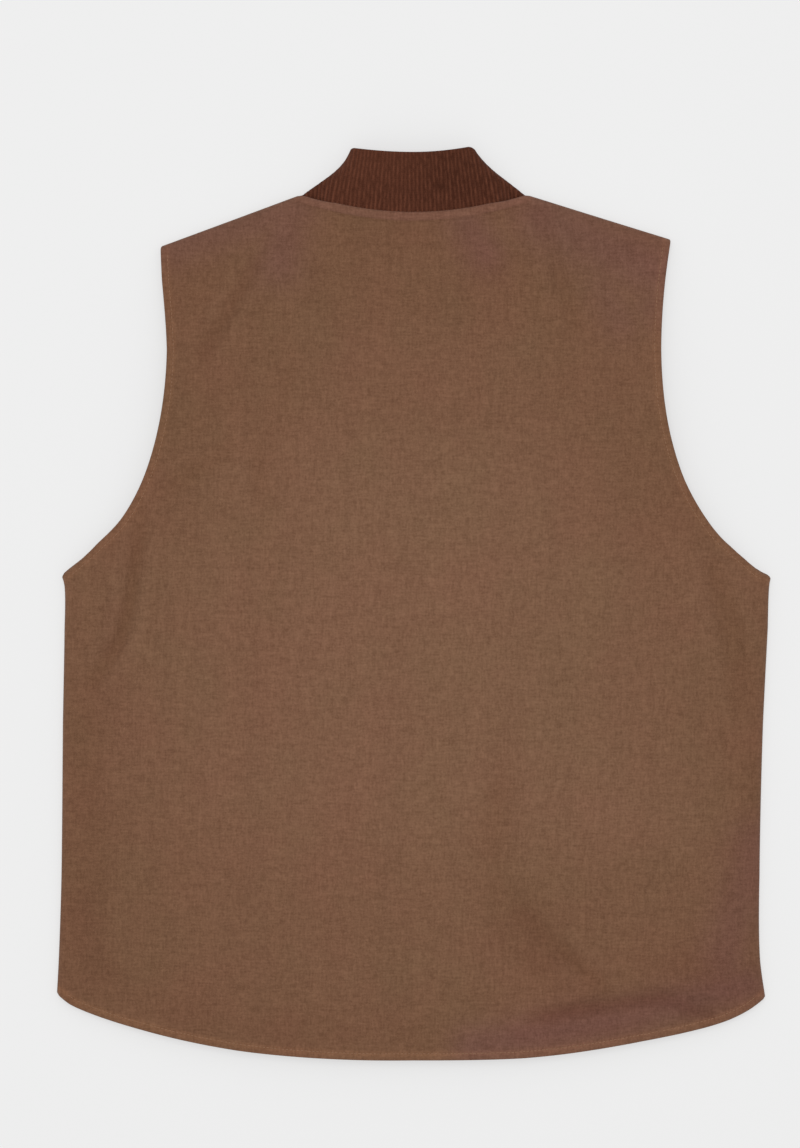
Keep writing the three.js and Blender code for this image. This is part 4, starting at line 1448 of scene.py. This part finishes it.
def blocks_object(name, parts, material):
    """Blocks joined into one piece with softened edges."""
    vertices, faces = [], []
    for points, own in parts:
        faces += [tuple(len(vertices) + k for k in face) for face in own]
        vertices += points.tolist()
    made = new_object(name, vertices, faces, material)
    bevel = made.modifiers.new("Softened edges", "BEVEL")
    bevel.width = SOFTENED_EDGE["width"]
    bevel.segments = SOFTENED_EDGE["segments"]
    return made


def make_zip(settings):
    """The closed front zip: a woven tape, two rows of brass teeth and the slider with its pull."""
    tape_z = ZIP_HIGH.z - settings.tape_wall
    foot = hem_line()[:, 1].min() + ZIP_FOOT
    rows = np.linspace(foot, ZIP_HIGH.y, TAPE_ROWS)
    across = np.linspace(ZIP_LOW.x, ZIP_HIGH.x, TAPE_COLUMNS)
    x, y = np.meshgrid(across, rows)
    rib = TAPE_RIB["height"] * np.sin(math.tau * x / TAPE_RIB["pitch"])
    top = np.stack([x, y, tape_z + settings.tape_wall / 2 + rib], axis=-1)
    bottom = np.stack([x, y, tape_z - settings.tape_wall / 2 + rib], axis=-1)
    tape = walled_mesh("zip_tape", top, bottom, material_of("Zip tape", settings))
    dress(tape, "zip", "front_zip")
    brass = material_of("Aged brass", settings)
    tooth_z = tape_z - settings.tape_wall / 2 - TOOTH["below"]
    first, last = foot + TEETH_FROM_FOOT, ZIP_HIGH.y - TEETH_FROM_TOP
    teeth = []
    for number, place in enumerate(np.arange(first, last, settings.tooth_pitch / 2)):
        aside = TOOTH["aside"] if number % 2 else -TOOTH["aside"]
        teeth.append(block(TOOTH["size"], (aside, place, tooth_z), TOOTH["bevel"]))
    dress(blocks_object("zip_teeth", teeth, brass), "zip", "front_zip")
    slider_y = ZIP_HIGH.y - SLIDER_FROM_TOP
    parts = [
        block(row["size"], (0, slider_y, tooth_z - row["below"]), row["bevel"]) for row in SLIDER_BLOCKS
    ]
    pull_place = (0, slider_y - PULL["down"], ZIP_LOW.z + PULL["above"])
    parts.append(block(PULL["size"], pull_place, PULL["bevel"]))
    dress(blocks_object("zip_slider", parts, brass), "zip", "front_zip")


def area_light(name, place, size, power):
    data = bpy.data.lights.new(name, "AREA")
    data.shape = "DISK"
    data.size = size
    data.energy = power
    light = bpy.data.objects.new(name, data)
    light.location = place
    light.rotation_euler = (-Vector(place)).to_track_quat("-Z", "Y").to_euler()
    bpy.context.scene.collection.objects.link(light)


def make_stage(stage):
    """A pale floor, soft light from above and a camera that looks straight down."""
    scene = bpy.context.scene
    scene.view_settings.view_transform = "Standard"
    scene.world = scene.world or bpy.data.worlds.new("World")
    scene.world.use_nodes = True
    background = next(n for n in scene.world.node_tree.nodes if n.type == "BACKGROUND")
    background.inputs["Color"].default_value = WHITE
    background.inputs["Strength"].default_value = stage.ambient
    corners = FLOOR_REACH * np.array([(-1, -1, 0), (1, -1, 0), (1, 1, 0), (-1, 1, 0)])
    floor = smooth_object("floor", corners, np.array([(0, 1, 2, 3)]), material_of("Pale floor", stage))
    area_light("key_light", KEY_LIGHT["place"], KEY_LIGHT["size"], stage.key)
    camera = bpy.data.objects.new("camera", bpy.data.cameras.new("camera"))
    camera.data.lens = stage.lens
    distance = IMAGE_HEIGHT * PIXEL * stage.lens / camera.data.sensor_width
    camera.location = (*VIEW_CENTRE, distance + SEAM_HEIGHT)
    scene.collection.objects.link(camera)
    scene.camera = camera


class VEST_OT_stage(bpy.types.Operator):
    """Sets out the floor, the light and the camera."""

    bl_idname = "vest.stage"
    bl_label = "Stage"

    def execute(self, context):
        make_stage(context.scene.vest.stage)
        return {"FINISHED"}


class VEST_OT_back_panel(bpy.types.Operator):
    """Makes the canvas back."""

    bl_idname = "vest.back_panel"
    bl_label = "Back Panel"

    def execute(self, context):
        make_back(context.scene.vest.canvas, context.scene.vest.stitches)
        return {"FINISHED"}


class VEST_OT_front_panels(bpy.types.Operator):
    """Makes the two canvas fronts."""

    bl_idname = "vest.front_panels"
    bl_label = "Front Panels"

    def execute(self, context):
        for side in ("left", "right"):
            make_front(side, context.scene.vest.canvas, context.scene.vest.stitches)
        return {"FINISHED"}


class VEST_OT_rib_collar(bpy.types.Operator):
    """Makes the rib-knit collar."""

    bl_idname = "vest.rib_collar"
    bl_label = "Rib Collar"

    def execute(self, context):
        make_collar(context.scene.vest.collar, context.scene.vest.canvas.crown)
        return {"FINISHED"}


class VEST_OT_stitching(bpy.types.Operator):
    """Sews the stitch lines along the turned edges."""

    bl_idname = "vest.stitching"
    bl_label = "Stitching"

    def execute(self, context):
        make_all_stitches(context.scene.vest.stitches)
        return {"FINISHED"}


class VEST_OT_front_zip(bpy.types.Operator):
    """Makes the front zip."""

    bl_idname = "vest.front_zip"
    bl_label = "Front Zip"

    def execute(self, context):
        make_zip(context.scene.vest.zip)
        return {"FINISHED"}


class VEST_PT_sidebar(bpy.types.Panel):
    """Lists the vest's settings and the operators that make its pieces."""

    bl_idname = "VEST_PT_sidebar"
    bl_label = "Canvas Work Vest"
    bl_space_type = "VIEW_3D"
    bl_region_type = "UI"
    bl_category = "Vest"

    def draw(self, context):
        for operator in OPERATORS:
            self.layout.operator(operator.bl_idname)
        for group in VestSettings.__annotations__:
            settings = getattr(context.scene.vest, group)
            box = self.layout.box()
            for name in settings.__annotations__:
                box.prop(settings, name)


SETTINGS = (
    VestCanvasSettings,
    VestCollarSettings,
    VestStitchSettings,
    VestZipSettings,
    VestStageSettings,
    VestSettings,
)
OPERATORS = (
    VEST_OT_stage,
    VEST_OT_back_panel,
    VEST_OT_front_panels,
    VEST_OT_rib_collar,
    VEST_OT_stitching,
    VEST_OT_front_zip,
)


def register():
    for added in (*SETTINGS, *OPERATORS, VEST_PT_sidebar):
        bpy.utils.register_class(added)
    bpy.types.Scene.vest = PointerProperty(type=VestSettings)


def unregister():
    del bpy.types.Scene.vest
    for added in reversed((*SETTINGS, *OPERATORS, VEST_PT_sidebar)):
        bpy.utils.unregister_class(added)


def main():
    register()
    bpy.ops.vest.stage()
    bpy.ops.vest.back_panel()
    bpy.ops.vest.front_panels()
    bpy.ops.vest.rib_collar()
    bpy.ops.vest.stitching()
    bpy.ops.vest.front_zip()


if __name__ == "__main__":
    main()
